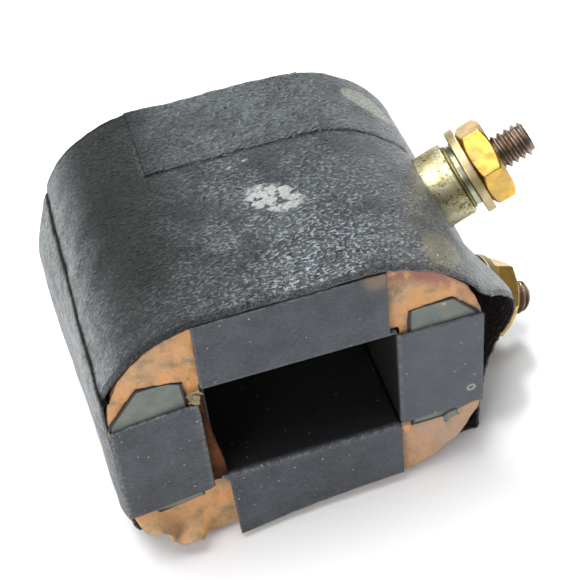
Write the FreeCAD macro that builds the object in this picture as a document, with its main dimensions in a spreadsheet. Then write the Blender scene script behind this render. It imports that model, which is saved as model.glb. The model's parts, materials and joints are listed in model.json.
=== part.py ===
"""Ignition coil: a form-wound coil on a square paper tunnel, wrapped in varnished cloth.

The origin is the centre of the tunnel's front mouth.  X runs across the tunnel, Y runs along
it into the coil and Z is up.  The two terminals leave the +X side, one raised and one lowered
by the same angle, and each is drawn about its own axis before being turned into place.
"""
import FreeCAD
import Part
import Sketcher
import os
from FreeCAD import Placement, Rotation, Vector

DOC = FreeCAD.newDocument("ignition_coil")
SHEET_NAME = "Dim"

# Every driving dimension, in millimetres or degrees.
DIMENSIONS = {
    # tunnel, its card liner and the former tube
    "tunnel_half": 15.75, "tunnel_rise": 11.7, "coil_length": 51.5,
    "card": 0.6, "former_wall": 1.0, "former_round": 1.6,
    # flaps that the liner folds out over the end faces
    "flap_left": 31.4, "flap_right": 30.3, "flap_top": 25.5, "flap_base": 26.0,
    "loose_inner": 17.6, "loose_top": 8.3, "loose_base": 14.0, "side_rise": 10.9,
    # fish paper cheeks and oiled kraft end papers
    "cheek": 0.4, "cheek_inner": 18.5, "cheek_top": 15.6, "cheek_base": 14.6,
    "cheek_chamfer": 5.6, "end_paper": 0.3, "end_round_tr": 19.5,
    # windings, their margins and papers
    "margin": 2.7, "primary_build": 3.85, "primary_round": 5.2, "layer_paper": 0.6,
    "wind_left": 31.6, "wind_right": 30.4, "wind_top": 25.8, "wind_base": 26.4,
    "wind_round_tl": 19.0, "wind_round_tr": 21.0, "wind_round_br": 18.0,
    "wind_round_bl": 13.0, "kraft": 0.8,
    # varnished cloth wrap
    "cloth": 0.9, "cloth_set_back": 0.3, "cloth_left": 33.4, "cloth_top": 26.9,
    "cloth_base": 27.7, "shoulder_x": 25.8, "ridge_x": 37.5, "ridge_z": -1.4,
    "toe_x": 30.4, "shoulder_round": 22.0, "crown_round": 21.0, "ridge_round": 10.0,
    "toe_round": 2.5, "heel_round": 8.4,
    "frayed_x": 29.5, "frayed_top": 15.0, "frayed_ridge": 8.5, "frayed_toe": 6.0,
    "slit_y": 34.0, "slit_gap": 0.3, "lap_x": -15.3, "patch_inner_x": 22.0,
    "patch_inner_z": 8.0,
    # terminals: distances run outwards along each stud from the plane x = 0
    "upper_y": 29.8, "upper_z": -3.3, "lower_y": 26.6, "lower_z": 0.5, "stud_tilt": 22.5,
    "rivet_low": 32.95, "rivet_rim": 5.4, "tag_low": 33.2, "board_low": 33.45,
    "board_high": 34.2, "bush_top": 40.4, "thin_top": 40.9, "spring_top": 42.0,
    "flat_top": 43.6, "nut_low": 43.62, "nut_top": 48.2, "upper_tip": 54.3,
    "lower_tip": 53.2, "contact_gap": 0.02,
    "board_width": 13.0, "board_length": 20.0,
    "bush_radius": 6.75, "bush_chamfer": 0.65, "spigot_radius": 4.5, "cloth_hole": 7.05,
    "stud_radius": 3.175, "thread_pitch": 1.27, "thread_depth": 0.7,
    "crest_land": 0.26, "thread_low": 41.2, "tip_chamfer": 0.7,
    "tag_radius": 6.0, "tag_tail": 13.0, "tag_width": 4.0,
    "washer_bore": 3.35, "thin_radius": 6.0, "spring_radius": 5.85, "spring_gap": 1.4,
    "flat_radius": 7.9, "nut_flats": 13.3, "nut_bore": 3.23, "nut_face": 6.35,
    "nut_point": 8.3, "nut_drop": 1.1, "bore_chamfer": 0.35,
    # lead wires and the copper earth strip
    "lead_radius": 0.4, "upper_lead_y": 10.0, "lower_lead_y": 2.6, "lead_hole": 0.45,
    "strip_thick": 0.3, "strip_half": 3.0, "strip_leg": 14.0, "strip_slot": 3.1,
}
# The turn about Y that lays each terminal's axis at its tilt, in degrees.
TILTS = {"upper": 67.5, "lower": 112.5}
# Lengths worked out from the driving ones, so that each stack is written once.
DERIVED = {
    "liner_x": "=tunnel_half + card", "liner_z": "=tunnel_rise + card",
    "former_x": "=liner_x + former_wall", "former_z": "=liner_z + former_wall",
    "primary_x": "=former_x + primary_build", "primary_z": "=former_z + primary_build",
    "paper_x": "=primary_x + layer_paper", "paper_z": "=primary_z + layer_paper",
    "paper_round": "=primary_round + layer_paper",
    "cheek_y": "=card", "paper_y": "=card + cheek", "stack_y": "=card + cheek + end_paper",
    "wire_y": "=stack_y + margin", "wire_end": "=coil_length - wire_y",
    "stack_end": "=coil_length - stack_y - strip_thick",
    "rear_paper_y": "=coil_length - paper_y - end_paper",
    "rear_cheek_y": "=coil_length - card - cheek", "rear_flap_y": "=coil_length - card",
    "stack_length": "=stack_end - stack_y", "wire_length": "=wire_end - wire_y",
    "cloth_length": "=coil_length - 2 * cloth_set_back",
    "strip_y": "=stack_end - strip_leg", "tag_middle": "=(tag_low + board_low) / 2",
    "lead_x": "=tag_middle * cos(stud_tilt)",
    "upper_lead_z": "=upper_z + tag_middle * sin(stud_tilt)",
    "lower_lead_z": "=lower_z - tag_middle * sin(stud_tilt)",
}

# Outlines across the axis: (x, z, corner radius), each a formula in the sheet's words.
KRAFT_OUTLINE = [
    ("-Dim.wind_left", "Dim.wind_top", "Dim.wind_round_tl"),
    ("Dim.wind_right", "Dim.wind_top", "Dim.wind_round_tr"),
    ("Dim.wind_right", "-Dim.wind_base", "Dim.wind_round_br"),
    ("-Dim.wind_left", "-Dim.wind_base", "Dim.wind_round_bl"),
]
END_OUTLINE = [
    ("-Dim.wind_left", "Dim.wind_top", "Dim.wind_round_tl"),
    ("Dim.wind_right", "Dim.wind_top", "Dim.end_round_tr"),
    ("Dim.wind_right", "-Dim.wind_base", "Dim.wind_round_br"),
    ("-Dim.wind_left", "-Dim.wind_base", "Dim.wind_round_bl"),
]
SECONDARY_OUTLINE = [
    (f"{x} {'+' if x.startswith('-') else '-'} Dim.kraft",
     f"{z} {'+' if z.startswith('-') else '-'} Dim.kraft",
     f"{rounding} - Dim.kraft")
    for x, z, rounding in KRAFT_OUTLINE
]
CLOTH_OUTLINE = [
    ("-Dim.cloth_left", "Dim.cloth_top", "Dim.crown_round"),
    ("Dim.shoulder_x", "Dim.cloth_top", "Dim.shoulder_round"),
    ("Dim.ridge_x", "Dim.ridge_z", "Dim.ridge_round"),
    ("Dim.toe_x", "-Dim.cloth_base", "Dim.toe_round"),
    ("-Dim.cloth_left", "-Dim.cloth_base", "Dim.heel_round"),
]


def centred(half_x, half_z, rounding=None):
    """A rectangle about the tunnel's axis."""
    return [(f"-{half_x}", half_z, rounding), (half_x, half_z, rounding),
            (half_x, f"-{half_z}", rounding), (f"-{half_x}", f"-{half_z}", rounding)]


def plain(*points):
    """An outline with sharp corners from (x, z) formulas."""
    return [(x, z, None) for x, z in points]


# ---------------------------------------------------------------- document helpers
def make_sheet():
    """The spreadsheet that holds every dimension under its own alias."""
    sheet = DOC.addObject("Spreadsheet::Sheet", SHEET_NAME)
    rows = list(DIMENSIONS.items()) + list(DERIVED.items())
    for row, (alias, value) in enumerate(rows, start=1):
        sheet.set(f"A{row}", alias)
        sheet.set(f"B{row}", str(value))
        sheet.setAlias(f"B{row}", alias)
    DOC.recompute()


def make_body(label):
    """A sub-part that is exported under its label."""
    body = DOC.addObject("PartDesign::Body", label)
    body.Label = label
    return body


def origin_part(body, role):
    """One of the body's own origin planes or axes."""
    return next(f for f in body.Origin.OriginFeatures if f.Role == role)


def draw_polygons(body, name, outlines, plane="XZ_Plane", offset=None):
    """A sketch of closed outlines whose corners are tied to the origin by formulas."""
    sketch = body.newObject("Sketcher::SketchObject", name)
    sketch.AttachmentSupport = (origin_part(body, plane), [""])
    sketch.MapMode = "FlatFace"
    if offset:
        sketch.setExpression("AttachmentOffset.Base.z", offset)
    for outline in outlines:
        add_polygon(sketch, outline)
    DOC.recompute()
    return sketch


def add_polygon(sketch, points):
    """Adds one closed ring of lines, then binds each corner to the sheet."""
    first = sketch.GeometryCount
    count = len(points)
    turn = Rotation(Vector(0, 0, 1), -360.0 / count)
    ring = [Vector(10, 0, 0)]
    for _ in range(count - 1):
        ring.append(turn.multVec(ring[-1]))
    for index in range(count):
        sketch.addGeometry(Part.LineSegment(ring[index], ring[(index + 1) % count]), False)
    for index in range(count):
        following = first + (index + 1) % count
        sketch.addConstraint(Sketcher.Constraint("Coincident", first + index, 2, following, 1))
    for index, point in enumerate(points):
        pin_corner(sketch, first + index, "DistanceX", ring[index].x, point[0])
        pin_corner(sketch, first + index, "DistanceY", ring[index].y, point[1])


def pin_corner(sketch, edge, kind, start, formula):
    """Ties one coordinate of a line's first point to a formula."""
    number = sketch.addConstraint(Sketcher.Constraint(kind, -1, 1, edge, 1, start))
    word = f"{kind}_{edge}"
    sketch.renameConstraint(number, word)
    sketch.setExpression(f"Constraints.{word}", formula)


def draw_circle(body, name, radius, plane="XY_Plane", offset=None):
    """A sketch of one circle about the local axis."""
    sketch = body.newObject("Sketcher::SketchObject", name)
    sketch.AttachmentSupport = (origin_part(body, plane), [""])
    sketch.MapMode = "FlatFace"
    if offset:
        sketch.setExpression("AttachmentOffset.Base.z", offset)
    sketch.addGeometry(Part.Circle(Vector(0, 0, 0), Vector(0, 0, 1), 5), False)
    sketch.addConstraint(Sketcher.Constraint("Coincident", 0, 3, -1, 1))
    number = sketch.addConstraint(Sketcher.Constraint("Radius", 0, 5))
    sketch.renameConstraint(number, "radius")
    sketch.setExpression("Constraints.radius", radius)
    DOC.recompute()
    return sketch


def corner_spots(sketch, points):
    """Where the rounded corners of an outline ended up, with their radius formulas."""
    spots = []
    for index, point in enumerate(points):
        if point[2]:
            spots.append((sketch.Geometry[index].StartPoint, point[2]))
    return spots


def edges_at(shape, spot):
    """Names of the edges that run along Y through one corner of an outline."""
    names = []
    for number, edge in enumerate(shape.Edges, start=1):
        ends = [vertex.Point for vertex in edge.Vertexes]
        if len(ends) == 2 and all(abs(p.x - spot.x) < 1e-4 and abs(p.z - spot.y) < 1e-4
                                  for p in ends):
            names.append(f"Edge{number}")
    return names


def round_corners(body, name, sketch, points):
    """Rounds the long edges of a prism, one fillet for each radius."""
    spots = corner_spots(sketch, points)
    formulas = sorted({formula for _, formula in spots})
    for number, formula in enumerate(formulas):
        base = body.Tip
        names = []
        for spot, radius in spots:
            if radius == formula:
                names += edges_at(base.Shape, spot)
        fillet = body.newObject("PartDesign::Fillet", f"{name}_round{number}")
        fillet.Base = (base, names)
        fillet.setExpression("Radius", formula)
        DOC.recompute()


def add_prism(body, name, points, start, length):
    """Pads an outline along Y from start, and rounds its corners."""
    sketch = draw_polygons(body, f"{name}_outline", [points], offset=f"-({start})")
    pad = body.newObject("PartDesign::Pad", name)
    pad.Profile = sketch
    pad.Reversed = True
    pad.setExpression("Length", length)
    DOC.recompute()
    round_corners(body, name, sketch, points)


def cut_prism(body, name, points, start=None):
    """Pockets an outline along +Y from start, or right through, and rounds its corners."""
    offset = f"-({start})" if start else None
    sketch = draw_polygons(body, f"{name}_outline", [points], offset=offset)
    pocket = body.newObject("PartDesign::Pocket", name)
    pocket.Profile = sketch
    pocket.Type = "ThroughAll"
    pocket.Midplane = start is None
    DOC.recompute()
    round_corners(body, name, sketch, points)


def cut_slab(body, name, points, start, length):
    """Pockets an outline for a set length along +Y from start."""
    sketch = draw_polygons(body, f"{name}_outline", [points], offset=f"-({start})")
    pocket = body.newObject("PartDesign::Pocket", name)
    pocket.Profile = sketch
    pocket.setExpression("Length", length)
    DOC.recompute()


def shell_prism(body, wall):
    """Leaves only a wall inside a prism and opens both of its ends."""
    base = body.Tip
    ends = []
    for number, face in enumerate(base.Shape.Faces, start=1):
        if abs(abs(face.normalAt(0, 0).y) - 1) < 1e-6:
            ends.append(f"Face{number}")
    shell = body.newObject("PartDesign::Thickness", "shell")
    shell.Base = (base, ends)
    shell.Join = 1
    shell.Reversed = True
    shell.setExpression("Value", wall)
    DOC.recompute()


def cut_along(body, name, radius, start, length, placement):
    """Bores a round hole with its own placement; start slides it along its axis."""
    bore = body.newObject("PartDesign::SubtractiveCylinder", name)
    bore.Placement = placement
    bore.setExpression("Radius", radius)
    bore.setExpression("Height", length)
    for axis, formula in zip("xyz", start):
        bore.setExpression(f"Placement.Base.{axis}", formula)
    DOC.recompute()
    return bore


# ---------------------------------------------------------------- paper tunnel and ends
def former_tube():
    """The kraft board tube that the coil is wound on."""
    body = make_body("former_tube")
    outer = centred("Dim.former_x", "Dim.former_z", "Dim.former_round")
    add_prism(body, "tube", outer, "Dim.stack_y", "Dim.stack_length")
    cut_prism(body, "tunnel", centred("Dim.liner_x", "Dim.liner_z"))


def liner(label, wall, flaps, slot=None):
    """A card strip: one tunnel wall with the flaps folded out at its ends."""
    body = make_body(label)
    add_prism(body, "wall", wall, "0", "Dim.coil_length")
    for name, start, outline in flaps:
        add_prism(body, name, outline, start, "Dim.card")
    if slot:
        cut_slab(body, "slot", slot, "Dim.stack_end - 0.05", "Dim.strip_thick + 0.1")


def level_flap(near, far):
    """A top or bottom flap between two heights."""
    return plain(("-Dim.tunnel_half", far), ("Dim.tunnel_half - Dim.card", far),
                 ("Dim.tunnel_half - Dim.card", near), ("-Dim.tunnel_half", near))


def upright_flap(near, far):
    """A left or right flap between two distances across the tunnel."""
    return plain((near, "Dim.side_rise"), (far, "Dim.side_rise"),
                 (far, "-Dim.side_rise"), (near, "-Dim.side_rise"))


def level_wall(near, far):
    """The wall of the top or bottom liner, which runs between the side liners."""
    return plain(("-Dim.tunnel_half", far), ("Dim.tunnel_half", far),
                 ("Dim.tunnel_half", near), ("-Dim.tunnel_half", near))


def upright_wall(near, far):
    """The wall of a side liner, which covers the edges of the top and bottom ones."""
    return plain((near, "Dim.liner_z"), (far, "Dim.liner_z"),
                 (far, "-Dim.liner_z"), (near, "-Dim.liner_z"))


def liners():
    """The four card strips, and the front left flap that has torn off its fold."""
    top = level_flap("Dim.tunnel_rise", "Dim.flap_top")
    liner("liner_top", level_wall("Dim.tunnel_rise", "Dim.liner_z"),
          [("front_flap", "0", top), ("rear_flap", "Dim.rear_flap_y", top)])
    base = level_flap("-Dim.tunnel_rise", "-Dim.flap_base")
    liner("liner_bottom", level_wall("-Dim.tunnel_rise", "-Dim.liner_z"),
          [("front_flap", "0", base), ("rear_flap", "Dim.rear_flap_y", base)])
    right = upright_flap("Dim.tunnel_half", "Dim.flap_right")
    liner("liner_right", upright_wall("Dim.tunnel_half", "Dim.liner_x"),
          [("front_flap", "0", right), ("rear_flap", "Dim.rear_flap_y", right)])
    left = upright_flap("-Dim.tunnel_half", "-Dim.flap_left")
    liner("liner_left", upright_wall("-Dim.tunnel_half", "-Dim.liner_x"),
          [("rear_flap", "Dim.rear_flap_y", left)],
          slot=plain(("-Dim.liner_x - 1", "Dim.strip_slot"), ("-Dim.tunnel_half + 1",
                     "Dim.strip_slot"), ("-Dim.tunnel_half + 1", "-Dim.strip_slot"),
                     ("-Dim.liner_x - 1", "-Dim.strip_slot")))
    loose = make_body("flap_loose")
    add_prism(loose, "flap", plain(("-Dim.flap_left", "Dim.loose_top - 0.6"),
              ("-Dim.loose_inner - 0.1", "Dim.loose_top"),
              ("-Dim.loose_inner + 0.2", "-Dim.loose_base + 0.9"),
              ("-Dim.flap_left", "-Dim.loose_base - 0.2")), "0", "Dim.card")


def end_paper(label, start):
    """Oiled kraft paper over one end of the winding."""
    body = make_body(label)
    add_prism(body, "sheet", END_OUTLINE, start, "Dim.end_paper")
    cut_prism(body, "window", centred("Dim.liner_x", "Dim.liner_z"))


def cheek(label, side, start):
    """A fish paper cheek behind a side flap, its top outer corner cut off."""
    body = make_body(label)
    outer = "Dim.flap_left - 0.3" if side == "-" else "Dim.flap_right - 0.3"
    points = [("Dim.cheek_inner", "Dim.cheek_top"),
              (f"{outer} - Dim.cheek_chamfer", "Dim.cheek_top"),
              (outer, "Dim.cheek_top - 1.2 * Dim.cheek_chamfer"), (outer, "-Dim.cheek_base"),
              ("Dim.cheek_inner", "-Dim.cheek_base")]
    add_prism(body, "cheek", plain(*[(f"{side}({x})", z) for x, z in points]), start,
              "Dim.cheek")


def ends():
    """Papers and cheeks over both ends of the winding."""
    end_paper("end_paper_front", "Dim.paper_y")
    end_paper("end_paper_rear", "Dim.rear_paper_y")
    cheek("cheek_front_left", "-", "Dim.card")
    cheek("cheek_front_right", "", "Dim.card")
    cheek("cheek_rear_left", "-", "Dim.rear_cheek_y")
    cheek("cheek_rear_right", "", "Dim.rear_cheek_y")


# ---------------------------------------------------------------- windings and wraps
PRIMARY_OUTLINE = centred("Dim.primary_x", "Dim.primary_z", "Dim.primary_round")
PAPER_OUTLINE = centred("Dim.paper_x", "Dim.paper_z", "Dim.paper_round")
FORMER_OUTLINE = centred("Dim.former_x", "Dim.former_z", "Dim.former_round")
STRIP_RECESS = plain(("-Dim.former_x - Dim.strip_thick", "Dim.strip_half"),
                     ("-Dim.former_x + 1", "Dim.strip_half"),
                     ("-Dim.former_x + 1", "-Dim.strip_half"),
                     ("-Dim.former_x - Dim.strip_thick", "-Dim.strip_half"))


def coil_ring(label, outer, inner, start, length):
    """One ring of the winding between two outlines."""
    body = make_body(label)
    add_prism(body, "ring", outer, start, length)
    cut_prism(body, "core", inner)
    return body


def paper_tube(label, outline, wall):
    """Wound paper of an even thickness between the end papers."""
    body = make_body(label)
    add_prism(body, "wrap", outline, "Dim.stack_y", "Dim.stack_length")
    shell_prism(body, wall)
    return body


def windings():
    """Primary, interwinding paper, secondary and the kraft paper round them."""
    primary = coil_ring("primary_winding", PRIMARY_OUTLINE, FORMER_OUTLINE, "Dim.wire_y",
                        "Dim.wire_length")
    cut_prism(primary, "strip_recess", STRIP_RECESS, "Dim.strip_y")
    paper_tube("interwinding_paper", PAPER_OUTLINE, "Dim.layer_paper")
    coil_ring("secondary_winding", SECONDARY_OUTLINE, PAPER_OUTLINE, "Dim.wire_y",
              "Dim.wire_length")
    for end, start in (("front", "Dim.stack_y"), ("rear", "Dim.wire_end")):
        length = "Dim.margin" if end == "front" else "Dim.stack_end - Dim.wire_end"
        inner = coil_ring(f"primary_margin_{end}", PRIMARY_OUTLINE, FORMER_OUTLINE, start,
                          length)
        outer = coil_ring(f"secondary_margin_{end}", SECONDARY_OUTLINE, PAPER_OUTLINE, start,
                          length)
        if end == "rear":
            cut_prism(inner, "strip_recess", STRIP_RECESS, "Dim.strip_y")
        else:
            lead_hole(outer, "lead_hole", "Dim.lower_lead_y", "Dim.lower_lead_z")
    kraft = paper_tube("kraft_wrap", KRAFT_OUTLINE, "Dim.kraft")
    lead_hole(kraft, "upper_hole", "Dim.upper_lead_y", "Dim.upper_lead_z")
    lead_hole(kraft, "lower_hole", "Dim.lower_lead_y", "Dim.lower_lead_z")


def lead_hole(body, name, along, height):
    """A hole towards +X that a lead wire comes out of."""
    cut_along(body, name, "Dim.lead_hole", ("Dim.paper_x", along, height), "20",
              Placement(Vector(0, 0, 0), Rotation(Vector(0, 1, 0), 90)))


def cloth_tube(label, start, length):
    """The varnished cloth as a plain tube of the wrap's section."""
    body = make_body(label)
    add_prism(body, "wrap", CLOTH_OUTLINE, start, length)
    shell_prism(body, "Dim.cloth")
    return body


def boss_hole(body, which):
    """The hole in the cloth that a terminal's bush stands in."""
    angle = TILTS[which]
    place = ("0", f"Dim.{which}_y", f"Dim.{which}_z")
    bore = cut_along(body, f"{which}_boss_hole", "Dim.cloth_hole", place, "60",
                     Placement(Vector(0, 0, 0), Rotation(Vector(0, 1, 0), angle)))
    bore.setExpression("Placement.Rotation.Angle", turn_formula(angle))
    DOC.recompute()


def turn_formula(angle):
    """The turn about Y that lays a terminal's axis at its tilt."""
    return "90 - Dim.stud_tilt" if angle < 90 else "90 + Dim.stud_tilt"


def patch_region(gap):
    """The part of the section that the rear patch covers, shrunk by a gap."""
    return [(f"Dim.lap_x + {gap}", "60"), (f"Dim.lap_x + {gap}", "Dim.patch_inner_z"),
            ("Dim.patch_inner_x", "Dim.patch_inner_z"),
            ("Dim.patch_inner_x", f"Dim.ridge_z + {gap}"), ("60", f"Dim.ridge_z + {gap}")]


def cloth():
    """The cloth wrap and the rear patch that is slit to clear the upper terminal."""
    wrap = cloth_tube("cloth_wrap", "Dim.cloth_set_back", "Dim.cloth_length")
    cut_prism(wrap, "patch_space", plain(*patch_region("0"), ("60", "60")), "Dim.slit_y")
    boss_hole(wrap, "upper")
    boss_hole(wrap, "lower")
    fray = draw_polygons(wrap, "frayed_edge_outline", [plain(
        ("-1", "Dim.frayed_top"), ("Dim.cloth_set_back", "Dim.frayed_top"),
        ("Dim.frayed_ridge", "Dim.ridge_z + 3"), ("Dim.frayed_toe", "-Dim.cloth_base - 1"),
        ("-1", "-Dim.cloth_base - 1"))], plane="YZ_Plane", offset="Dim.frayed_x")
    pocket = wrap.newObject("PartDesign::Pocket", "frayed_edge")
    pocket.Profile = fray
    pocket.Type = "ThroughAll"
    pocket.Reversed = True
    patch = cloth_tube("cloth_patch", "Dim.slit_y + Dim.slit_gap",
                       "Dim.coil_length - Dim.cloth_set_back - Dim.slit_y - Dim.slit_gap")
    cut_prism(patch, "outside_patch", plain(*patch_region("Dim.slit_gap"), ("60", "-60"),
              ("-60", "-60"), ("-60", "60")))
    boss_hole(patch, "upper")


# ---------------------------------------------------------------- terminals
def terminal_body(name, which):
    """A body whose local Z is one stud's axis, with Z zero on the plane x = 0."""
    body = make_body(f"{name}_{which}")
    angle = TILTS[which]
    body.Placement = Placement(Vector(0, 0, 0), Rotation(Vector(0, 1, 0), angle))
    body.setExpression("Placement.Base.y", f"Dim.{which}_y")
    body.setExpression("Placement.Base.z", f"Dim.{which}_z")
    body.setExpression("Placement.Rotation.Angle", turn_formula(angle))
    return body


def turn_profile(body, name, points, kind="PartDesign::Revolution"):
    """Revolves a profile of (radius, height) formulas about the local axis."""
    sketch = draw_polygons(body, f"{name}_profile", [plain(*points)])
    feature = body.newObject(kind, name)
    feature.Profile = sketch
    feature.ReferenceAxis = (sketch, ["V_Axis"])
    DOC.recompute()
    return feature


def ring_profile(bore, radius, low, high):
    """The profile of a plain ring."""
    return [(bore, low), (radius, low), (radius, high), (bore, high)]


def bush(which):
    """Brass bush: its spigot is riveted through the board and over the tag."""
    body = terminal_body("bush", which)
    turn_profile(body, "bush", [
        ("Dim.stud_radius", "Dim.rivet_low"), ("Dim.rivet_rim", "Dim.rivet_low"),
        ("Dim.rivet_rim", "Dim.tag_low"), ("Dim.spigot_radius", "Dim.tag_low"),
        ("Dim.spigot_radius", "Dim.board_high"), ("Dim.bush_radius", "Dim.board_high"),
        ("Dim.bush_radius", "Dim.bush_top - Dim.bush_chamfer"),
        ("Dim.bush_radius - Dim.bush_chamfer", "Dim.bush_top"),
        ("Dim.stud_radius", "Dim.bush_top")])


def stud(which):
    """Terminal stud, soldered into the bush, with its thread cut as even grooves."""
    body = terminal_body("stud", which)
    tip = f"Dim.{which}_tip"
    turn_profile(body, "shank", [
        ("0", "Dim.rivet_low"), ("Dim.stud_radius", "Dim.rivet_low"),
        ("Dim.stud_radius", f"{tip} - Dim.tip_chamfer"),
        ("Dim.stud_radius - Dim.tip_chamfer", tip), ("0", tip)])
    half = "(Dim.thread_pitch - Dim.crest_land) / 2"
    groove = turn_profile(body, "thread_groove", [
        ("Dim.stud_radius - Dim.thread_depth", "Dim.thread_low"),
        ("Dim.stud_radius", f"Dim.thread_low + {half}"),
        ("Dim.stud_radius + 0.1", f"Dim.thread_low + {half}"),
        ("Dim.stud_radius + 0.1", f"Dim.thread_low - {half}"),
        ("Dim.stud_radius", f"Dim.thread_low - {half}")], "PartDesign::Groove")
    pattern = body.newObject("PartDesign::LinearPattern", "thread")
    pattern.Originals = [groove]
    pattern.Direction = (origin_part(body, "Z_Axis"), [""])
    count = f"floor(({tip} - Dim.tip_chamfer - Dim.thread_low) / Dim.thread_pitch)"
    pattern.setExpression("Length", f"{count} * Dim.thread_pitch")
    pattern.setExpression("Occurrences", f"{count} + 1")
    body.Tip = pattern
    DOC.recompute()


def washer(name, which, radius, low, high):
    """A plain washer on the stud."""
    body = terminal_body(name, which)
    turn_profile(body, name, ring_profile("Dim.washer_bore", radius, low, high))
    return body


def spring_washer(which):
    """A spring washer: a ring with one gap."""
    body = washer("spring_washer", which, "Dim.spring_radius", "Dim.thin_top",
                  "Dim.spring_top")
    sketch = draw_polygons(body, "gap_outline", [plain(
        ("0", "Dim.spring_gap / 2"), ("20", "Dim.spring_gap / 2"),
        ("20", "-Dim.spring_gap / 2"), ("0", "-Dim.spring_gap / 2"))], plane="XY_Plane")
    gap = body.newObject("PartDesign::Pocket", "gap")
    gap.Profile = sketch
    gap.Type = "ThroughAll"
    gap.Midplane = True
    DOC.recompute()


def nut(which):
    """Hexagon nut with both faces chamfered."""
    body = terminal_body("nut", which)
    flat = "Dim.nut_flats / 2"
    side = "Dim.nut_flats / 2 * tan(30)"
    sketch = draw_polygons(body, "hexagon", [plain(
        (f"2 * {side}", "0"), (side, flat), (f"-{side}", flat), (f"-2 * {side}", "0"),
        (f"-{side}", f"-{flat}"), (side, f"-{flat}"))], plane="XY_Plane",
        offset="Dim.nut_low")
    pad = body.newObject("PartDesign::Pad", "blank")
    pad.Profile = sketch
    pad.setExpression("Length", "Dim.nut_top - Dim.nut_low")
    DOC.recompute()
    turn_profile(body, "bore", [
        ("0", "Dim.nut_low - 1"), ("Dim.nut_bore + Dim.bore_chamfer + 1", "Dim.nut_low - 1"),
        ("Dim.nut_bore", "Dim.nut_low + Dim.bore_chamfer"),
        ("Dim.nut_bore", "Dim.nut_top - Dim.bore_chamfer"),
        ("Dim.nut_bore + Dim.bore_chamfer + 1", "Dim.nut_top + 1"), ("0", "Dim.nut_top + 1")],
        "PartDesign::Groove")
    turn_profile(body, "low_chamfer", [
        ("Dim.nut_face", "Dim.nut_low"), ("Dim.nut_point", "Dim.nut_low + Dim.nut_drop"),
        ("Dim.nut_point", "Dim.nut_low - 0.1"), ("Dim.nut_face", "Dim.nut_low - 0.1")],
        "PartDesign::Groove")
    turn_profile(body, "high_chamfer", [
        ("Dim.nut_face", "Dim.nut_top"), ("Dim.nut_point", "Dim.nut_top - Dim.nut_drop"),
        ("Dim.nut_point", "Dim.nut_top + 0.1"), ("Dim.nut_face", "Dim.nut_top + 0.1")],
        "PartDesign::Groove")


def board(which):
    """Vulcanised fibre board that a bush is riveted to."""
    body = terminal_body("board", which)
    wide = "Dim.board_width / 2"
    deep = "Dim.board_length / 2"
    slab(body, plain((f"-{wide}", deep), (wide, deep), (wide, f"-{deep}"),
                     (f"-{wide}", f"-{deep}")), "Dim.board_low",
         "Dim.board_high - Dim.board_low")
    bore_through(body, "Dim.spigot_radius")


def tag(which):
    """Tinned copper solder tag under the board, its tail towards the front."""
    body = terminal_body("tag", which)
    turn_profile(body, "eye", ring_profile("Dim.spigot_radius", "Dim.tag_radius",
                                           "Dim.tag_low", "Dim.board_low"))
    half = "Dim.tag_width / 2"
    slab(body, plain((f"-{half}", "-Dim.tag_radius + 0.5"), (half, "-Dim.tag_radius + 0.5"),
                     (half, "-Dim.tag_tail"), (f"-{half}", "-Dim.tag_tail")), "Dim.tag_low",
         "Dim.board_low - Dim.tag_low")


def slab(body, outline, low, thickness):
    """Pads an outline drawn across the local axis."""
    sketch = draw_polygons(body, "slab_outline", [outline], plane="XY_Plane", offset=low)
    pad = body.newObject("PartDesign::Pad", "slab")
    pad.Profile = sketch
    pad.setExpression("Length", thickness)
    DOC.recompute()


def bore_through(body, radius):
    """Bores a hole along the local axis."""
    pocket = body.newObject("PartDesign::Pocket", "bore")
    pocket.Profile = draw_circle(body, "bore_outline", radius)
    pocket.Type = "ThroughAll"
    pocket.Midplane = True
    DOC.recompute()


def terminals():
    """Both terminals, from the board under the cloth to the hexagon nut."""
    for which in ("upper", "lower"):
        board(which)
        tag(which)
        bush(which)
        stud(which)
        washer("thin_washer", which, "Dim.thin_radius", "Dim.bush_top + Dim.contact_gap",
               "Dim.thin_top")
        spring_washer(which)
        washer("flat_washer", which, "Dim.flat_radius", "Dim.spring_top", "Dim.flat_top")
        nut(which)


# ---------------------------------------------------------------- leads and earth strip
def lead(which):
    """A lead wire that comes out of the winding and runs back to its tag."""
    body = make_body(f"lead_{which}")
    out = f"Dim.{which}_lead_y"
    height = f"Dim.{which}_lead_z"
    half = "Dim.lead_radius"
    start = "Dim.paper_x + 0.02" if which == "lower" else "Dim.wind_right - Dim.kraft - 0.35"
    sketch = draw_polygons(body, "run_outline", [plain(
        (start, f"{out} - {half}"), (f"Dim.lead_x + {half}", f"{out} - {half}"),
        (f"Dim.lead_x + {half}", f"Dim.{which}_y - Dim.tag_tail"),
        (f"Dim.lead_x - {half}", f"Dim.{which}_y - Dim.tag_tail"),
        (f"Dim.lead_x - {half}", f"{out} + {half}"), (start, f"{out} + {half}"))],
        plane="XY_Plane", offset=f"{height}")
    pad = body.newObject("PartDesign::Pad", "run")
    pad.Profile = sketch
    pad.Midplane = True
    pad.setExpression("Length", "1.2 * Dim.lead_radius")
    DOC.recompute()


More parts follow.
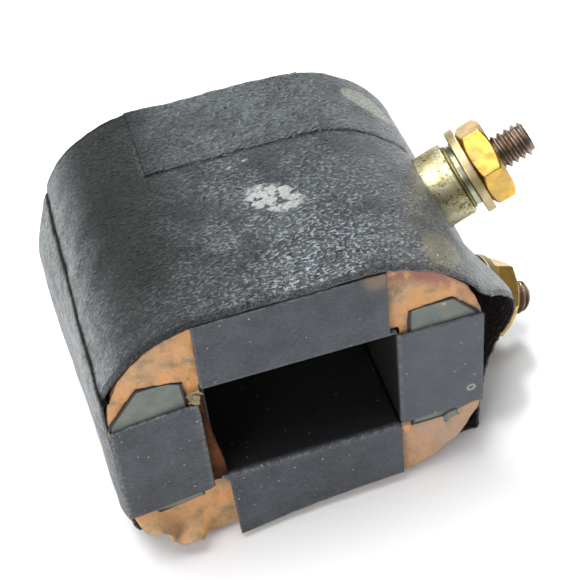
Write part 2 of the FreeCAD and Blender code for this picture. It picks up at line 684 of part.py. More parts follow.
def earth_strip():
    """Copper strip under the first layer, hooked round the former into the tunnel."""
    body = make_body("earth_strip")
    outer = "-Dim.former_x"
    inner = "-Dim.tunnel_half"
    end = "Dim.stack_end"
    sketch = draw_polygons(body, "hook", [plain(
        (f"{outer} - Dim.strip_thick", "Dim.strip_y"), (outer, "Dim.strip_y"), (outer, end),
        (inner, end), (inner, "Dim.strip_y + 2"),
        (f"{inner} + Dim.strip_thick", "Dim.strip_y + 2"),
        (f"{inner} + Dim.strip_thick", f"{end} + Dim.strip_thick"),
        (f"{outer} - Dim.strip_thick", f"{end} + Dim.strip_thick"))], plane="XY_Plane")
    pad = body.newObject("PartDesign::Pad", "strip")
    pad.Profile = sketch
    pad.Midplane = True
    pad.setExpression("Length", "2 * Dim.strip_half")
    DOC.recompute()


# ---------------------------------------------------------------- checks and export
def faults(item):
    """The words of an object's state that mean it failed to build."""
    return [word for word in item.State if word in ("Invalid", "Error")]


def export_parts():
    """Checks every object, then writes one STEP file for each body."""
    DOC.recompute()
    broken = [item.Label for item in DOC.Objects if faults(item)]
    if broken:
        raise RuntimeError(f"objects failed to build: {broken}")
    os.makedirs("parts", exist_ok=True)
    for item in DOC.Objects:
        if item.TypeId != "PartDesign::Body":
            continue
        shape = item.Shape
        if shape.isNull() or not shape.isValid():
            raise RuntimeError(f"{item.Label} has no valid shape")
        shape.exportStep(f"parts/{item.Label}.step")
        box = shape.BoundBox
        print(f"{item.Label:24s} {shape.Volume:10.2f} mm3  solids {len(shape.Solids)}  "
              f"x {box.XMin:.2f}..{box.XMax:.2f}  y {box.YMin:.2f}..{box.YMax:.2f}  "
              f"z {box.ZMin:.2f}..{box.ZMax:.2f}")


make_sheet()
former_tube()
liners()
ends()
windings()
cloth()
terminals()
for terminal in ("upper", "lower"):
    lead(terminal)
earth_strip()
export_parts()
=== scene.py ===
"""Ignition coil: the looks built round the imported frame.

Lengths are in millimetres, in the frame's own axes, and become metres when a mesh is made.
X runs across the tunnel towards the terminals, Y along it into the coil and Z is up.
"""
import json
import math

import bpy
import numpy as np
from mathutils import Matrix, Vector, noise


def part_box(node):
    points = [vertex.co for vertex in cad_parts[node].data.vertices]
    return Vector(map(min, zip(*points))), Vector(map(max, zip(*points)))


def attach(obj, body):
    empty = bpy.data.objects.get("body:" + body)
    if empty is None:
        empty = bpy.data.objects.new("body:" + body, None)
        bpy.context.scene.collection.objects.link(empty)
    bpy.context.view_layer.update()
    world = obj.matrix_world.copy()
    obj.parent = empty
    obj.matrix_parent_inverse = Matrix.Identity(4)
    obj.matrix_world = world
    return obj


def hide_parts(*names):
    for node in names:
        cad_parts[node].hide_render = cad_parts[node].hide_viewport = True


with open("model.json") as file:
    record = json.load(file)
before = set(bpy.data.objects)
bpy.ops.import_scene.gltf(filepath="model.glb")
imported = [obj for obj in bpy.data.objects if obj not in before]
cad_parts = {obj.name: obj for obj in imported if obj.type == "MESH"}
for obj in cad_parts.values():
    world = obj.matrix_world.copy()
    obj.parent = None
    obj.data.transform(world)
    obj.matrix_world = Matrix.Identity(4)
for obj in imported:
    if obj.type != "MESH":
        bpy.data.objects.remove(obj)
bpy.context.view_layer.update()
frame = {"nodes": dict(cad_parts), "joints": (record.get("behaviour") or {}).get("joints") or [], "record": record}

MM = 0.001
TAU = 2 * math.pi


# ---- sizes, in millimetres
def low(node):
    """A CAD node's lowest corner in millimetres."""
    return [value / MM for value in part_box(node)[0]]


def high(node):
    """A CAD node's highest corner in millimetres."""
    return [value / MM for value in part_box(node)[1]]


CLOTH_LEFT, _, FLOOR_Z = low("cloth_wrap")
CLOTH_TOP = high("cloth_wrap")[2]
TUNNEL_X, TUNNEL_Z = high("liner_top")[0], low("liner_top")[2]
CARD = low("cheek_front_left")[1]
PAPER_LEFT, PAPER_Y, PAPER_BASE = low("end_paper_front")
PAPER_RIGHT, _, PAPER_TOP = high("end_paper_front")
COIL_END = high("liner_top")[1]

CLOTH = 0.9
TORN_Y = 1.6
SLIT_Y = 34.0
LAP_X = -15.3
SEAM_X, SEAM_Z = -31.3, 15.0
RIDGE = (37.5, -1.4)
BUSH_RADIUS = 6.75
CLOTH_HOLE = 6.95
CLOTH_CORNERS = [
    (CLOTH_LEFT, CLOTH_TOP, 21.0), (25.8, CLOTH_TOP, 22.0), (*RIDGE, 10.0),
    (30.4, FLOOR_Z, 2.5), (CLOTH_LEFT, FLOOR_Z, 8.4),
]
PAPER_CORNERS = [
    (PAPER_LEFT, PAPER_TOP, 19.0), (PAPER_RIGHT, PAPER_TOP, 18.0),
    (PAPER_RIGHT, PAPER_BASE, 18.0), (PAPER_LEFT, PAPER_BASE, 13.0),
]


# ---- outlines
def points_of(*parts):
    """Joins coordinate arrays or numbers into points."""
    return np.stack(np.broadcast_arrays(*parts), -1)


class Outline:
    """A rounded polygon, walked clockwise as seen from the front."""

    ARC_STEPS = 60

    def __init__(self, corners):
        dense = []
        for index, (x, z, radius) in enumerate(corners):
            here = np.array((x, z))
            before = self.toward(here, corners[index - 1])
            after = self.toward(here, corners[(index + 1) % len(corners)])
            half = math.acos(before @ after) / 2
            middle = before + after
            centre = here + middle / np.linalg.norm(middle) * radius / math.sin(half)
            start = here + before * radius / math.tan(half) - centre
            first = math.atan2(start[1], start[0])
            for step in range(self.ARC_STEPS + 1):
                angle = first - (math.pi - 2 * half) * step / self.ARC_STEPS
                dense.append(centre + radius * np.array((math.cos(angle), math.sin(angle))))
        dense.append(dense[0])
        self.points = np.array(dense)
        steps = np.linalg.norm(np.diff(self.points, axis=0), axis=1)
        self.along = np.concatenate(([0], np.cumsum(steps)))
        self.length = self.along[-1]

    @staticmethod
    def toward(here, corner):
        """Unit direction from a point to a corner."""
        way = np.array(corner[:2]) - here
        return way / np.linalg.norm(way)

    def at(self, distance):
        """Points at distances along the outline."""
        turned = np.mod(distance, self.length)
        return points_of(*(np.interp(turned, self.along, part) for part in self.points.T))

    def outward(self, distance):
        """Unit normals that point out of the outline."""
        way = self.at(distance + 0.4) - self.at(distance - 0.4)
        way /= np.linalg.norm(way, axis=-1, keepdims=True)
        return points_of(-way[..., 1], way[..., 0])

    def where(self, x, z):
        """Distance along to the place nearest a point."""
        walk = np.linspace(0, self.length, 4000)
        gap = np.linalg.norm(self.at(walk) - np.array((x, z)), axis=1)
        return float(walk[np.argmin(gap)])

    def radius(self, angles):
        """Reach from the tunnel's axis in given directions."""
        dense = self.at(np.linspace(0, self.length, 3000, endpoint=False))
        around = np.mod(np.arctan2(dense[:, 1], dense[:, 0]), TAU)
        order = np.argsort(around)
        reach = np.linalg.norm(dense, axis=1)[order]
        return np.interp(np.mod(angles, TAU), around[order], reach, period=TAU)


SECTION = Outline(CLOTH_CORNERS)
PAPER = Outline(PAPER_CORNERS)
SEAM = SECTION.where(SEAM_X, SEAM_Z)
LAP = SECTION.where(LAP_X, CLOTH_TOP)
PATCH_END = SECTION.where(RIDGE[0], RIDGE[1] - 1.0)


def polar(radius, angles, heights):
    """Points round the local Z axis."""
    return points_of(radius * np.cos(angles), radius * np.sin(angles), heights)


def smooth(low_end, high_end, value):
    """Rises from 0 to 1 between two values."""
    share = np.clip((value - low_end) / (high_end - low_end), 0, 1)
    return share * share * (3 - 2 * share)


def hill(value, centre, width):
    """A bell of height 1."""
    return np.exp(-((value - centre) / width) ** 2)


def rough(points, seed=0.0):
    """Smooth random values in -1..1 at an array of 3-D points."""
    flat = np.asarray(points, float).reshape(-1, 3)
    shift = Vector((seed * 3.7, seed * 1.3, seed * 2.1))
    values = [noise.noise(Vector(point) + shift) for point in flat]
    return np.array(values).reshape(np.shape(points)[:-1])


# ---- meshes
def make_object(name, points, faces, material, body="coil", attributes=()):
    """A smooth mesh in a named material that rides on a body."""
    mesh = bpy.data.meshes.new(name)
    mesh.from_pydata((np.asarray(points) * MM).tolist(), [], faces)
    mesh.shade_smooth()
    for label, values in dict(attributes).items():
        kind = "FLOAT_VECTOR" if np.ndim(values) == 2 else "FLOAT"
        layer = mesh.attributes.new(label, kind, "POINT")
        field = "vector" if kind == "FLOAT_VECTOR" else "value"
        layer.data.foreach_set(field, np.asarray(values, np.float32).ravel())
    mesh.materials.append(MATERIALS[material])
    made = bpy.data.objects.new(name, mesh)
    bpy.context.scene.collection.objects.link(made)
    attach(made, body)
    return made


def grid_faces(rows, columns, loop=False, keep=None, flip=False):
    """Quads of a grid numbered row by row, turned over by flip."""
    faces = []
    for i in range(rows - 1):
        for j in range(columns if loop else columns - 1):
            if keep is None or keep[i, j]:
                k = (j + 1) % columns
                faces.append((i * columns + j, i * columns + k,
                              (i + 1) * columns + k, (i + 1) * columns + j))
    return [face[::-1] for face in faces] if flip else faces


def thicken(points, inward, faces):
    """Closes a sheet with a second layer and a rim."""
    count = len(points)
    both = np.concatenate([points, points + inward])
    edges = dict.fromkeys(pair for face in faces for pair in zip(face, face[1:] + face[:1]))
    back = [tuple(vertex + count for vertex in reversed(face)) for face in faces]
    rim = [(b, a, a + count, b + count) for a, b in edges if (b, a) not in edges]
    used = sorted({vertex for face in faces for vertex in face})
    keep = used + [vertex + count for vertex in used]
    number = {vertex: place for place, vertex in enumerate(keep)}
    closed = [tuple(number[vertex] for vertex in face) for face in faces + back + rim]
    return both[keep], closed, np.array(used)


def make_sheet(name, points, inward, faces, material, attributes=()):
    """A closed sheet; both layers share each attribute."""
    shape, closed, used = thicken(points.reshape(-1, 3), inward.reshape(-1, 3), faces)
    # under is 1 on the inner layer; the cloth material paints it in shade.
    shared = {"under": np.repeat([0.0, 1.0], len(used))}
    for label, values in dict(attributes).items():
        flat = np.asarray(values, float).reshape(len(points.reshape(-1, 3)), -1)[used]
        shared[label] = np.concatenate([flat, flat]).squeeze()
    return make_object(name, shape, closed, material, attributes=shared)


# ---- materials
class Graph:
    """A material's nodes, added one call at a time."""

    def __init__(self, name):
        self.material = bpy.data.materials.new(name)
        self.material.use_nodes = True
        self.tree = self.material.node_tree
        self.tree.nodes.clear()
        self.colour = None

    def node(self, kind, inputs=(), **settings):
        """Adds a node, sets its properties and feeds its inputs."""
        made = self.tree.nodes.new("ShaderNode" + kind)
        for label, value in settings.items():
            setattr(made, label, value)
        for key, value in dict(inputs).items():
            self.feed(made.inputs[key], value)
        return made

    def feed(self, socket, value):
        """Links a socket, or sets it to a constant."""
        if isinstance(value, bpy.types.NodeSocket):
            self.tree.links.new(value, socket)
        else:
            socket.default_value = value

    def place(self, stretch=(1, 1, 1), attribute=None):
        """Coordinates in millimetres, stretched per axis."""
        if attribute:
            source = self.node("Attribute", attribute_name=attribute).outputs["Vector"]
        else:
            source = self.node("TexCoord").outputs["Object"]
            stretch = [value / MM for value in stretch]
        inputs = {0: source, 1: tuple(stretch)}
        return self.node("VectorMath", inputs, operation="MULTIPLY").outputs[0]

    def value(self, attribute):
        """A number stored on the mesh."""
        return self.node("Attribute", attribute_name=attribute).outputs["Fac"]

    def noise(self, place, scale=1.0, detail=3.0, roughness=0.55, distortion=0.0):
        """Soft random values about 0.5."""
        inputs = {"Vector": place, "Scale": scale, "Detail": detail, "Roughness": roughness,
                  "Distortion": distortion}
        return self.node("TexNoise", inputs).outputs[0]

    def cells(self, place, scale=1.0, feature="F1"):
        """Distance to scattered points."""
        inputs = {"Vector": place, "Scale": scale}
        return self.node("TexVoronoi", inputs, feature=feature).outputs["Distance"]

    def reach(self, place, point):
        """Distance from a point."""
        return self.node("VectorMath", {0: place, 1: point}, operation="DISTANCE").outputs["Value"]

    def math(self, operation, a, b=0.0, clamp=False):
        """Arithmetic on two numbers."""
        return self.node("Math", {0: a, 1: b}, operation=operation, use_clamp=clamp).outputs[0]

    def times(self, a, b):
        """One number times another."""
        return self.math("MULTIPLY", a, b)

    def step(self, value, start, end):
        """Rises smoothly from 0 to 1 between two values."""
        inputs = {"Value": value, "From Min": start, "From Max": end}
        return self.node("MapRange", inputs, interpolation_type="SMOOTHSTEP").outputs[0]

    def mix(self, share, a, b):
        """A colour between two colours."""
        inputs = {0: share, 6: self.rgba(a), 7: self.rgba(b)}
        return self.node("Mix", inputs, data_type="RGBA").outputs[2]

    def lay(self, share, over, strength=None):
        """Lays a colour over the material's colour so far."""
        if strength is not None:
            share = self.times(share, strength)
        self.colour = self.mix(share, self.colour, over)

    def blend(self, share, a, b):
        """A number between two numbers."""
        return self.node("Mix", {0: share, 2: a, 3: b}, data_type="FLOAT").outputs[0]

    @staticmethod
    def rgba(colour):
        """Adds alpha to a colour; sockets pass through."""
        return colour if isinstance(colour, bpy.types.NodeSocket) else (*colour, 1.0)

    def blob(self, place, centre, radii, angle, ragged=0.35):
        """A ragged oval spot: 1 inside and 0 outside."""
        inputs = {"Vector": place, "Location": (*centre, 0.0), "Rotation": (0.0, 0.0, angle),
                  "Scale": (*radii, 1.0)}
        moved = self.node("Mapping", inputs, vector_type="TEXTURE").outputs[0]
        reach = self.reach(moved, (0.0, 0.0, 0.0))
        wobble = self.math("MULTIPLY", self.noise(place, 1.1, 5.0, 0.7), ragged * 2)
        return self.step(self.math("ADD", reach, wobble), 1.12 + ragged, 0.88 + ragged)

    def bump(self, height, distance, strength=1.0, under=None):
        """A normal tilted by a height of some millimetres."""
        inputs = {"Height": height, "Distance": distance * MM, "Strength": strength}
        if under:
            inputs["Normal"] = under
        return self.node("Bump", inputs).outputs[0]

    def surface(self, roughness, normal=None, **constants):
        """Ends the tree in one principled shader."""
        inputs = {"Base Color": self.rgba(self.colour), "Roughness": roughness}
        if normal:
            inputs["Normal"] = normal
        inputs.update({label.replace("_", " "): value for label, value in constants.items()})
        shader = self.node("BsdfPrincipled", inputs)
        output = self.node("OutputMaterial")
        self.tree.links.new(shader.outputs[0], output.inputs["Surface"])
        return self.material


CHARCOAL = (0.024, 0.028, 0.033)
# Near black: the cloth's painted shade in the grain's hollows, and the card's dark fibres.
NEAR_BLACK = (0.012, 0.012, 0.014)
DUST = (0.30, 0.33, 0.36)


def cloth_material():
    """Varnished charcoal cloth: grain, scuffs and a paint dab, with painted glints, painted reflections and
    painted shade.
    """
    g = Graph("varnished_cloth")
    lie = g.place(attribute="lie")
    grain = g.noise(g.place((1.4, 2.7, 1.0), "lie"), 1.0, 2.5, 0.58)
    beads = g.cells(g.place((1.7, 2.9, 1.0), "lie"), 1.0, "SMOOTH_F1")
    patchy = g.noise(lie, 0.11, 3.0)
    cloudy = g.noise(lie, 0.45, 4.0, 0.65)
    shine, reflection_and_grey, fray = g.value("shine"), g.value("reflection_and_grey"), g.value("fray")
    crown = g.value("crown")
    g.colour = g.mix(g.step(patchy, 0.40, 0.62), CHARCOAL, (0.050, 0.059, 0.062))
    # Painted reflection: pale grey where the upper left and the right facet reflect bright surroundings, plus the
    # real grey of the rear patch.
    g.lay(reflection_and_grey, (0.190, 0.210, 0.205), g.step(cloudy, 0.2, 0.75))
    # Painted shade: the left crown is darkened for the dark surroundings it reflects, and a patch near the lap is
    # darkened too.
    g.lay(crown, (0.017, 0.020, 0.017), 0.9)
    relief = g.math("SUBTRACT", grain, g.times(beads, 0.55))
    # Painted highlights: pale flecks on the grain's raised bumps stand in for varnish glints, brightest where the
    # lights glint and few on the crown.
    glint_flecks = g.step(g.math("ADD", relief, g.times(cloudy, 0.25)), 0.39, 0.57)
    glint_flecks = g.times(glint_flecks, g.blend(shine, 0.45, 1.0))
    glint_flecks = g.times(glint_flecks, g.blend(crown, 1.0, 0.20))
    glint_flecks = g.times(glint_flecks, g.step(patchy, 0.30, 0.52))
    g.lay(glint_flecks, g.mix(shine, (0.25, 0.280, 0.300), (0.36, 0.395, 0.425)))
    # Painted shade: the hollows between the grain's bumps are darkened.
    pores = g.step(relief, 0.19, 0.05)
    g.lay(pores, NEAR_BLACK, 0.85)
    threads = g.noise(g.place((0.35, 7.0, 1.0), "lie"), 1.0, 3.0, 0.7)
    g.lay(fray, (0.33, 0.35, 0.33), g.step(threads, 0.40, 0.62))
    scuffs(g, lie)
    # Painted shade: the cut edges and the slit are darkened as the shadowed underside of the rolled edge.
    creep = g.blend(g.noise(lie, 0.9, 4.0, 0.7), 0.7, 1.8)
    ragged = g.step(g.times(g.value("rim"), creep), 0.25, 0.6)
    g.lay(ragged, (0.007, 0.007, 0.009))
    g.lay(paint_dab(g, lie), (0.43, 0.45, 0.43))
    # Painted shade: the inner layer, under the cloth, is near black.
    g.lay(g.value("under"), (0.006, 0.006, 0.007))
    coarse = g.bump(g.noise(lie, 0.5, 3.0), 1.2, 0.6)
    normal = g.bump(relief, 1.0, 1.0, under=coarse)
    gloss = g.math("ADD", g.blend(shine, 0.42, 0.24), g.times(crown, 0.20))
    gloss = g.blend(g.value("seam"), gloss, 0.9)
    varnish = g.times(g.blend(shine, 0.25, 1.0), g.blend(crown, 1.0, 0.0))
    varnish = g.times(varnish, g.blend(g.value("seam"), 1.0, 0.0))
    specular = g.times(g.blend(crown, 0.6, 0.25), g.blend(g.value("seam"), 1.0, 0.1))
    return g.surface(gloss, normal, Specular_IOR_Level=specular, Coat_Weight=varnish,
                     Coat_Roughness=0.12, Coat_IOR=1.6, Coat_Normal=normal)


def scuffs(g, lie):
    """Pale and olive worn places and the seam's dark line."""
    worn = g.noise(lie, 2.6, 4.0, 0.7)
    beige = g.blob(lie, (SECTION.where(26.4, 20.7), 44.5), (5.6, 2.7), -0.25, 0.15)
    g.lay(beige, (0.33, 0.34, 0.25), g.step(worn, 0.30, 0.60))
    olive = g.blob(lie, (SECTION.where(25.6, 21.6), 5.8), (5.0, 3.6), 0.7)
    olive = g.times(olive, g.step(worn, 0.30, 0.58))
    g.lay(olive, (0.19, 0.175, 0.105))
    collar = g.times(g.value("collar"), g.blend(worn, 0.2, 0.9))
    g.lay(collar, (0.20, 0.22, 0.18))
    lap = g.blob(lie, (LAP - 0.1, 38.0), (0.45, 4.2), 0.0, 0.6)
    g.lay(lap, DUST, g.step(worn, 0.50, 0.75))
    for across, along in ((-1.9, 30.9), (1.2, 31.7)):
        fleck = g.blob(lie, (SECTION.where(across, CLOTH_TOP), along), (0.60, 0.22), 0.3, 0.6)
        g.lay(fleck, (0.45, 0.48, 0.48), g.step(worn, 0.40, 0.55))
    dark = g.times(g.value("seam"), g.blend(worn, 0.9, 1.0))
    g.lay(dark, g.mix(g.step(worn, 0.45, 0.7), (0.010, 0.011, 0.007), (0.050, 0.050, 0.028)))


def paint_dab(g, lie):
    """A worn dab of white paint with no meaning."""
    centre = (SECTION.where(3.2, CLOTH_TOP), 21.6)
    dab = g.blob(lie, centre, (4.6, 3.0), -0.55, 0.55)
    strokes = g.noise(lie, 0.62, 2.0, 0.5)
    worn = g.noise(g.place((1.0, 1.6, 1.0), "lie"), 1.5, 4.0, 0.6)
    left = g.times(g.step(strokes, 0.40, 0.46), g.step(worn, 0.30, 0.42))
    return g.times(dab, left)


def card_material():
    """Blue-black pressboard: fibres, folds and edges lighter as wear and as a painted highlight, painted shade
    inside the tunnel, and specks.
    """
    g = Graph("pressboard")
    place = g.place()
    fibre = g.noise(g.place((1.0, 1.0, 3.4)), 1.2, 4.0, 0.65)
    cloudy = g.noise(place, 0.16, 4.0)
    g.colour = g.mix(g.step(cloudy, 0.3, 0.7), (0.034, 0.038, 0.047), (0.060, 0.067, 0.078))
    g.lay(g.step(fibre, 0.52, 0.72), (0.100, 0.110, 0.120))
    g.lay(g.step(fibre, 0.46, 0.34), NEAR_BLACK, 0.6)
    g.lay(g.step(g.noise(place, 0.35, 5.0, 0.7), 0.60, 0.78), (0.030, 0.031, 0.034))
    # Lighter along the cut edges and the folds: rubbed wear on the edges, a painted highlight on the rounded
    # folds.
    worn = g.times(g.value("edge"), g.step(g.noise(place, 1.4, 4.0, 0.7), 0.40, 0.70))
    g.lay(worn, (0.21, 0.22, 0.23))
    along = g.node("SeparateXYZ", {0: place}).outputs[0]
    g.lay(g.step(along, 8.0, 20.0), (0.100, 0.115, 0.130), 0.4)
    specks = g.times(g.step(g.cells(place, 0.60), 0.13, 0.06),
                    g.step(g.noise(place, 0.5), 0.48, 0.56))
    specks = g.times(specks, g.blend(g.value("inside"), 1.0, 0.3))
    # Painted shade: the tunnel's inner walls are near black.
    g.lay(g.value("inside"), (0.003, 0.003, 0.004))
    g.lay(specks, (0.38, 0.38, 0.36))
    flat = g.place((1, 0, 1))
    ring = g.math("ABSOLUTE", g.math("SUBTRACT", g.reach(flat, (28.2, 0.0, -6.8)), 0.62))
    g.lay(g.step(ring, 0.34, 0.12), (0.30, 0.30, 0.26))
    smear = g.math("ADD", g.reach(flat, (13.2, 0.0, 25.6)), g.times(fibre, 3.0))
    smear = g.step(smear, 4.6, 3.0)
    g.lay(smear, (0.19, 0.135, 0.095), 0.85)
    normal = g.bump(fibre, 0.16, 0.8, under=g.bump(g.noise(place, 0.3, 3.0), 0.8, 0.35))
    return g.surface(g.blend(g.value("edge"), 0.58, 0.45), normal,
                     Specular_IOR_Level=0.45)


def paper_material(name, fresh, aged, stain, gloss=0.4):
    """Oiled kraft paper: pulp, stains and creases."""
    g = Graph(name)
    place = g.place()
    cloudy = g.noise(place, 0.13, 4.0, 0.6)
    blots = g.noise(place, 0.26, 5.0, 0.66)
    pulp = g.noise(g.place((1.0, 1.0, 2.4)), 2.6, 4.0, 0.7)
    g.colour = g.mix(g.step(cloudy, 0.36, 0.64), fresh, aged)
    g.lay(g.step(blots, 0.46, 0.72), stain, 0.85)
    g.lay(g.step(pulp, 0.55, 0.80), [value * 1.35 for value in fresh], 0.6)
    g.lay(g.step(pulp, 0.44, 0.28), [value * 0.35 for value in fresh], 0.5)
    g.lay(g.value("faded"), (0.47, 0.31, 0.22), g.blend(cloudy, 0.5, 1.0))
    g.lay(g.value("rimmed"), (0.30, 0.115, 0.085), g.step(blots, 0.36, 0.48))
    normal = g.bump(pulp, 0.12, 0.7, under=g.bump(blots, 1.2, 0.6))
    return g.surface(g.blend(cloudy, 0.42, 0.62), normal, Specular_IOR_Level=gloss)


def cheek_material():
    """Grey-green fish paper; its cut edges are black, partly burnt and partly a painted shadow."""
    g = Graph("fish_paper")
    place = g.place()
    cloudy = g.noise(place, 0.35, 4.0, 0.6)
    g.colour = g.mix(g.step(cloudy, 0.3, 0.7), (0.105, 0.125, 0.112), (0.160, 0.170, 0.135))
    g.lay(g.step(g.noise(place, 2.2, 4.0, 0.7), 0.58, 0.8), (0.17, 0.18, 0.14))
    # Black cut edges: burnt edges, widened with a painted shadow.
    g.lay(g.step(g.value("edge"), 0.15, 0.50), (0.006, 0.005, 0.004))
    normal = g.bump(g.noise(place, 3.0, 3.0), 0.05, 0.6)
    return g.surface(0.5, normal)


def metal_material(name, bright, dull, spots, roughness, pitted=0.0, plated=None):
    """Old metal: tarnish, grime and pits, maybe worn plating."""
    g = Graph(name)
    place = g.place()
    cloudy = g.noise(place, 0.45, 5.0, 0.65)
    fine = g.noise(place, 2.2, 5.0, 0.7)
    g.colour = g.mix(g.step(cloudy, 0.35, 0.68), bright, dull)
    if plated:
        g.lay(g.step(g.noise(place, 0.32, 5.0, 0.6, 0.4), 0.47, 0.58), plated)
    pits = g.step(g.math("ADD", fine, g.times(cloudy, 0.4)), 0.86 - 0.16 * pitted,
                  0.98 - 0.16 * pitted)
    g.lay(pits, spots)
    grime = g.step(g.noise(place, 1.1, 4.0, 0.6), 0.40, 0.24)
    g.lay(grime, spots, 0.45 + 0.3 * pitted)
    shine = g.math("ADD", g.blend(cloudy, roughness - 0.08, roughness + 0.12),
                   g.times(pits, 0.3), clamp=True)
    height = g.math("SUBTRACT", fine, g.times(pits, 0.8))
    normal = g.bump(height, 0.04 + 0.10 * pitted, 0.5)
    return g.surface(shine, normal, Metallic=1.0)


def fibre_material(name, dark, pale, roughness=0.55):
    """Fibre board, sleeving or winding."""
    g = Graph(name)
    place = g.place()
    fine = g.noise(g.place((1.0, 3.0, 1.0)), 2.0, 4.0, 0.65)
    g.colour = g.mix(g.step(g.noise(place, 0.3, 4.0), 0.3, 0.7), dark, pale)
    g.lay(g.step(fine, 0.55, 0.8), [value * 1.35 for value in pale])
    return g.surface(roughness, g.bump(fine, 0.08, 0.6))


PAPERS = {
    "oiled_kraft": ((0.64, 0.31, 0.115), (0.52, 0.32, 0.165), (0.19, 0.150, 0.080)),
    "kraft_paper": ((0.50, 0.25, 0.13), (0.42, 0.24, 0.14), (0.15, 0.09, 0.06)),
    "kraft_board": ((0.120, 0.040, 0.010), (0.060, 0.020, 0.006), (0.012, 0.005, 0.003), 0.06),
}
FIBRES = {
    "enamelled_wire": ((0.16, 0.05, 0.02), (0.30, 0.10, 0.04), 0.3),
    "vulcanised_fibre": ((0.16, 0.04, 0.025), (0.24, 0.07, 0.04)),
    "lead_sleeve": ((0.20, 0.15, 0.07), (0.30, 0.25, 0.13)),
}
METALS = {
    "plated_brass": ((0.50, 0.45, 0.28), (0.36, 0.30, 0.13), (0.075, 0.055, 0.020), 0.36, 0.8,
                     (0.54, 0.50, 0.34)),
    "bright_brass": ((0.64, 0.39, 0.07), (0.46, 0.29, 0.10), (0.25, 0.12, 0.04), 0.30, 0.15),
    "dull_brass": ((0.50, 0.42, 0.23), (0.42, 0.33, 0.17), (0.15, 0.11, 0.05), 0.42, 0.2),
    "olive_brass": ((0.26, 0.23, 0.09), (0.20, 0.17, 0.07), (0.07, 0.055, 0.025), 0.42, 0.3),
    "plated_steel": ((0.44, 0.46, 0.36), (0.30, 0.30, 0.19), (0.10, 0.09, 0.05), 0.28, 0.2),
    "brown_steel": ((0.34, 0.28, 0.22), (0.20, 0.15, 0.11), (0.05, 0.035, 0.025), 0.36, 0.35),
    "tinned_copper": ((0.70, 0.68, 0.62), (0.55, 0.50, 0.44), (0.20, 0.15, 0.10), 0.35),
    "bare_copper": ((0.72, 0.34, 0.19), (0.48, 0.20, 0.10), (0.12, 0.05, 0.03), 0.32, 0.3),
}
MATERIALS = {"varnished_cloth": cloth_material(), "pressboard": card_material(),
             "fish_paper": cheek_material()}
for make, recipes in ((paper_material, PAPERS), (fibre_material, FIBRES), (metal_material, METALS)):
    MATERIALS.update({name: make(name, *recipe) for name, recipe in recipes.items()})


# ---- cloth wrap
GRID_STEP = 0.42
REAR_Y = COIL_END - 0.3


def cloth_columns():
    """Distances along the section, closer together at the seam."""
    walk = np.linspace(0, SECTION.length, 6000)
    density = 1 + 2.2 * hill(walk, SEAM, 1.6)
    total = np.concatenate(([0], np.cumsum((density[1:] + density[:-1]) / 2 * np.diff(walk))))
    count = int(total[-1] / GRID_STEP)
    return np.interp(np.linspace(0, total[-1], count, endpoint=False), total, walk)


def front_edge(spot):
    """Where the cloth starts along Y: cut back at the right and below."""
    x, z = spot[..., 0], spot[..., 1]
    side = np.interp(z, [FLOOR_Z, 1.4, 15.0], [6.3, 8.5, 0.4])
    base = np.interp(x, [-33.0, -29.0, 0.0, 16.0, 25.0, 30.0], [2.6, 4.2, 3.8, 4.4, 5.8, 6.3])
    left = np.interp(z, [FLOOR_Z + 4.0, -10.0, 8.0, 15.0], [2.4, 1.3, 1.0, 0.4])
    edge = np.where(x < -20.0, left, np.where((x > 27.0) & (z < 15.5), side, 0.2))
    return np.where(z < FLOOR_Z + 4.0, np.where(x > 29.6, side, base), edge)


def flare(spot, y):
    """How far the right cut edge stands off the coil."""
    x, z = spot[..., 0], spot[..., 1]
    reach = np.where(z > 1.4, hill(z, 1.4, 9.5), hill(z, 1.4, 5.5)) * (x > 10)
    toe = hill(z, FLOOR_Z, 6.0) * smooth(26.0, 30.0, x)
    return (3.2 * reach + 2.0 * toe) * (1 - smooth(9.0, 22.0, y))


def wrinkles(spot, s, y):
    """Folds, slack and lumps, as a distance outwards."""
    where = points_of(spot[..., 0], y, spot[..., 1])
    top = smooth(10.0, 22.0, spot[..., 1])
    lumps = 0.30 * rough(where * 0.085, 1) + 0.12 * rough(where * 0.30, 2)
    tight = points_of(s * 0.16, y * 0.75, 0)
    folds = rough(tight, 3) * hill(y, 4.0, 4.5) * top * hill(spot[..., 0], 6.0, 17.0)
    slant = (s - SEAM) * 0.62 - (y - 27.0) * 0.55
    creases = np.sin(slant * 1.15 + 1.4 * rough(where * 0.2, 4))
    creases *= hill(s, SEAM + 6.0, 4.6) * hill(y, 27.0, 11.0)
    fine = 0.035 * rough(points_of(s * 0.9, y * 1.9, 0), 5)
    slack = smooth(12.0, 46.0, y) * smooth(15.5, 4.0, spot[..., 1]) * smooth(-20.0, -29.0, spot[..., 0])
    slack = slack * smooth(-33.0, -13.0, spot[..., 1])
    return lumps + 0.60 * folds + 0.32 * creases + fine + 2.1 * slack


def seam_step(s, y):
    """The upper layer's raw end stands above the lower."""
    wander = 0.28 * rough(points_of(y * 0.35, 0, 0), 6)
    off = s - SEAM - wander
    step = 0.34 * smooth(-0.15, 0.35, off) * (1 - smooth(6.0, 16.0, off))
    worn = 0.75 + 0.25 * rough(points_of(y * 1.3, 0, 0), 27)
    return step - 0.70 * hill(off, -0.25, 0.50), np.clip(2.6 * worn * hill(off, -0.2, 0.95), 0, 1)


def terminal_axes():
    """Each stud's axis and its point in the plane x = 0."""
    axes = {}
    for joint in frame["joints"]:
        if joint["type"] == "hinge":
            which = "upper" if "upper" in joint["name"] else "lower"
            way = Vector(joint["axis"]).normalized()
            point = Vector(joint["pos_m"]) / MM
            axes[which] = (point - way * (point.x / way.x), way)
    return axes


AXES = terminal_axes()


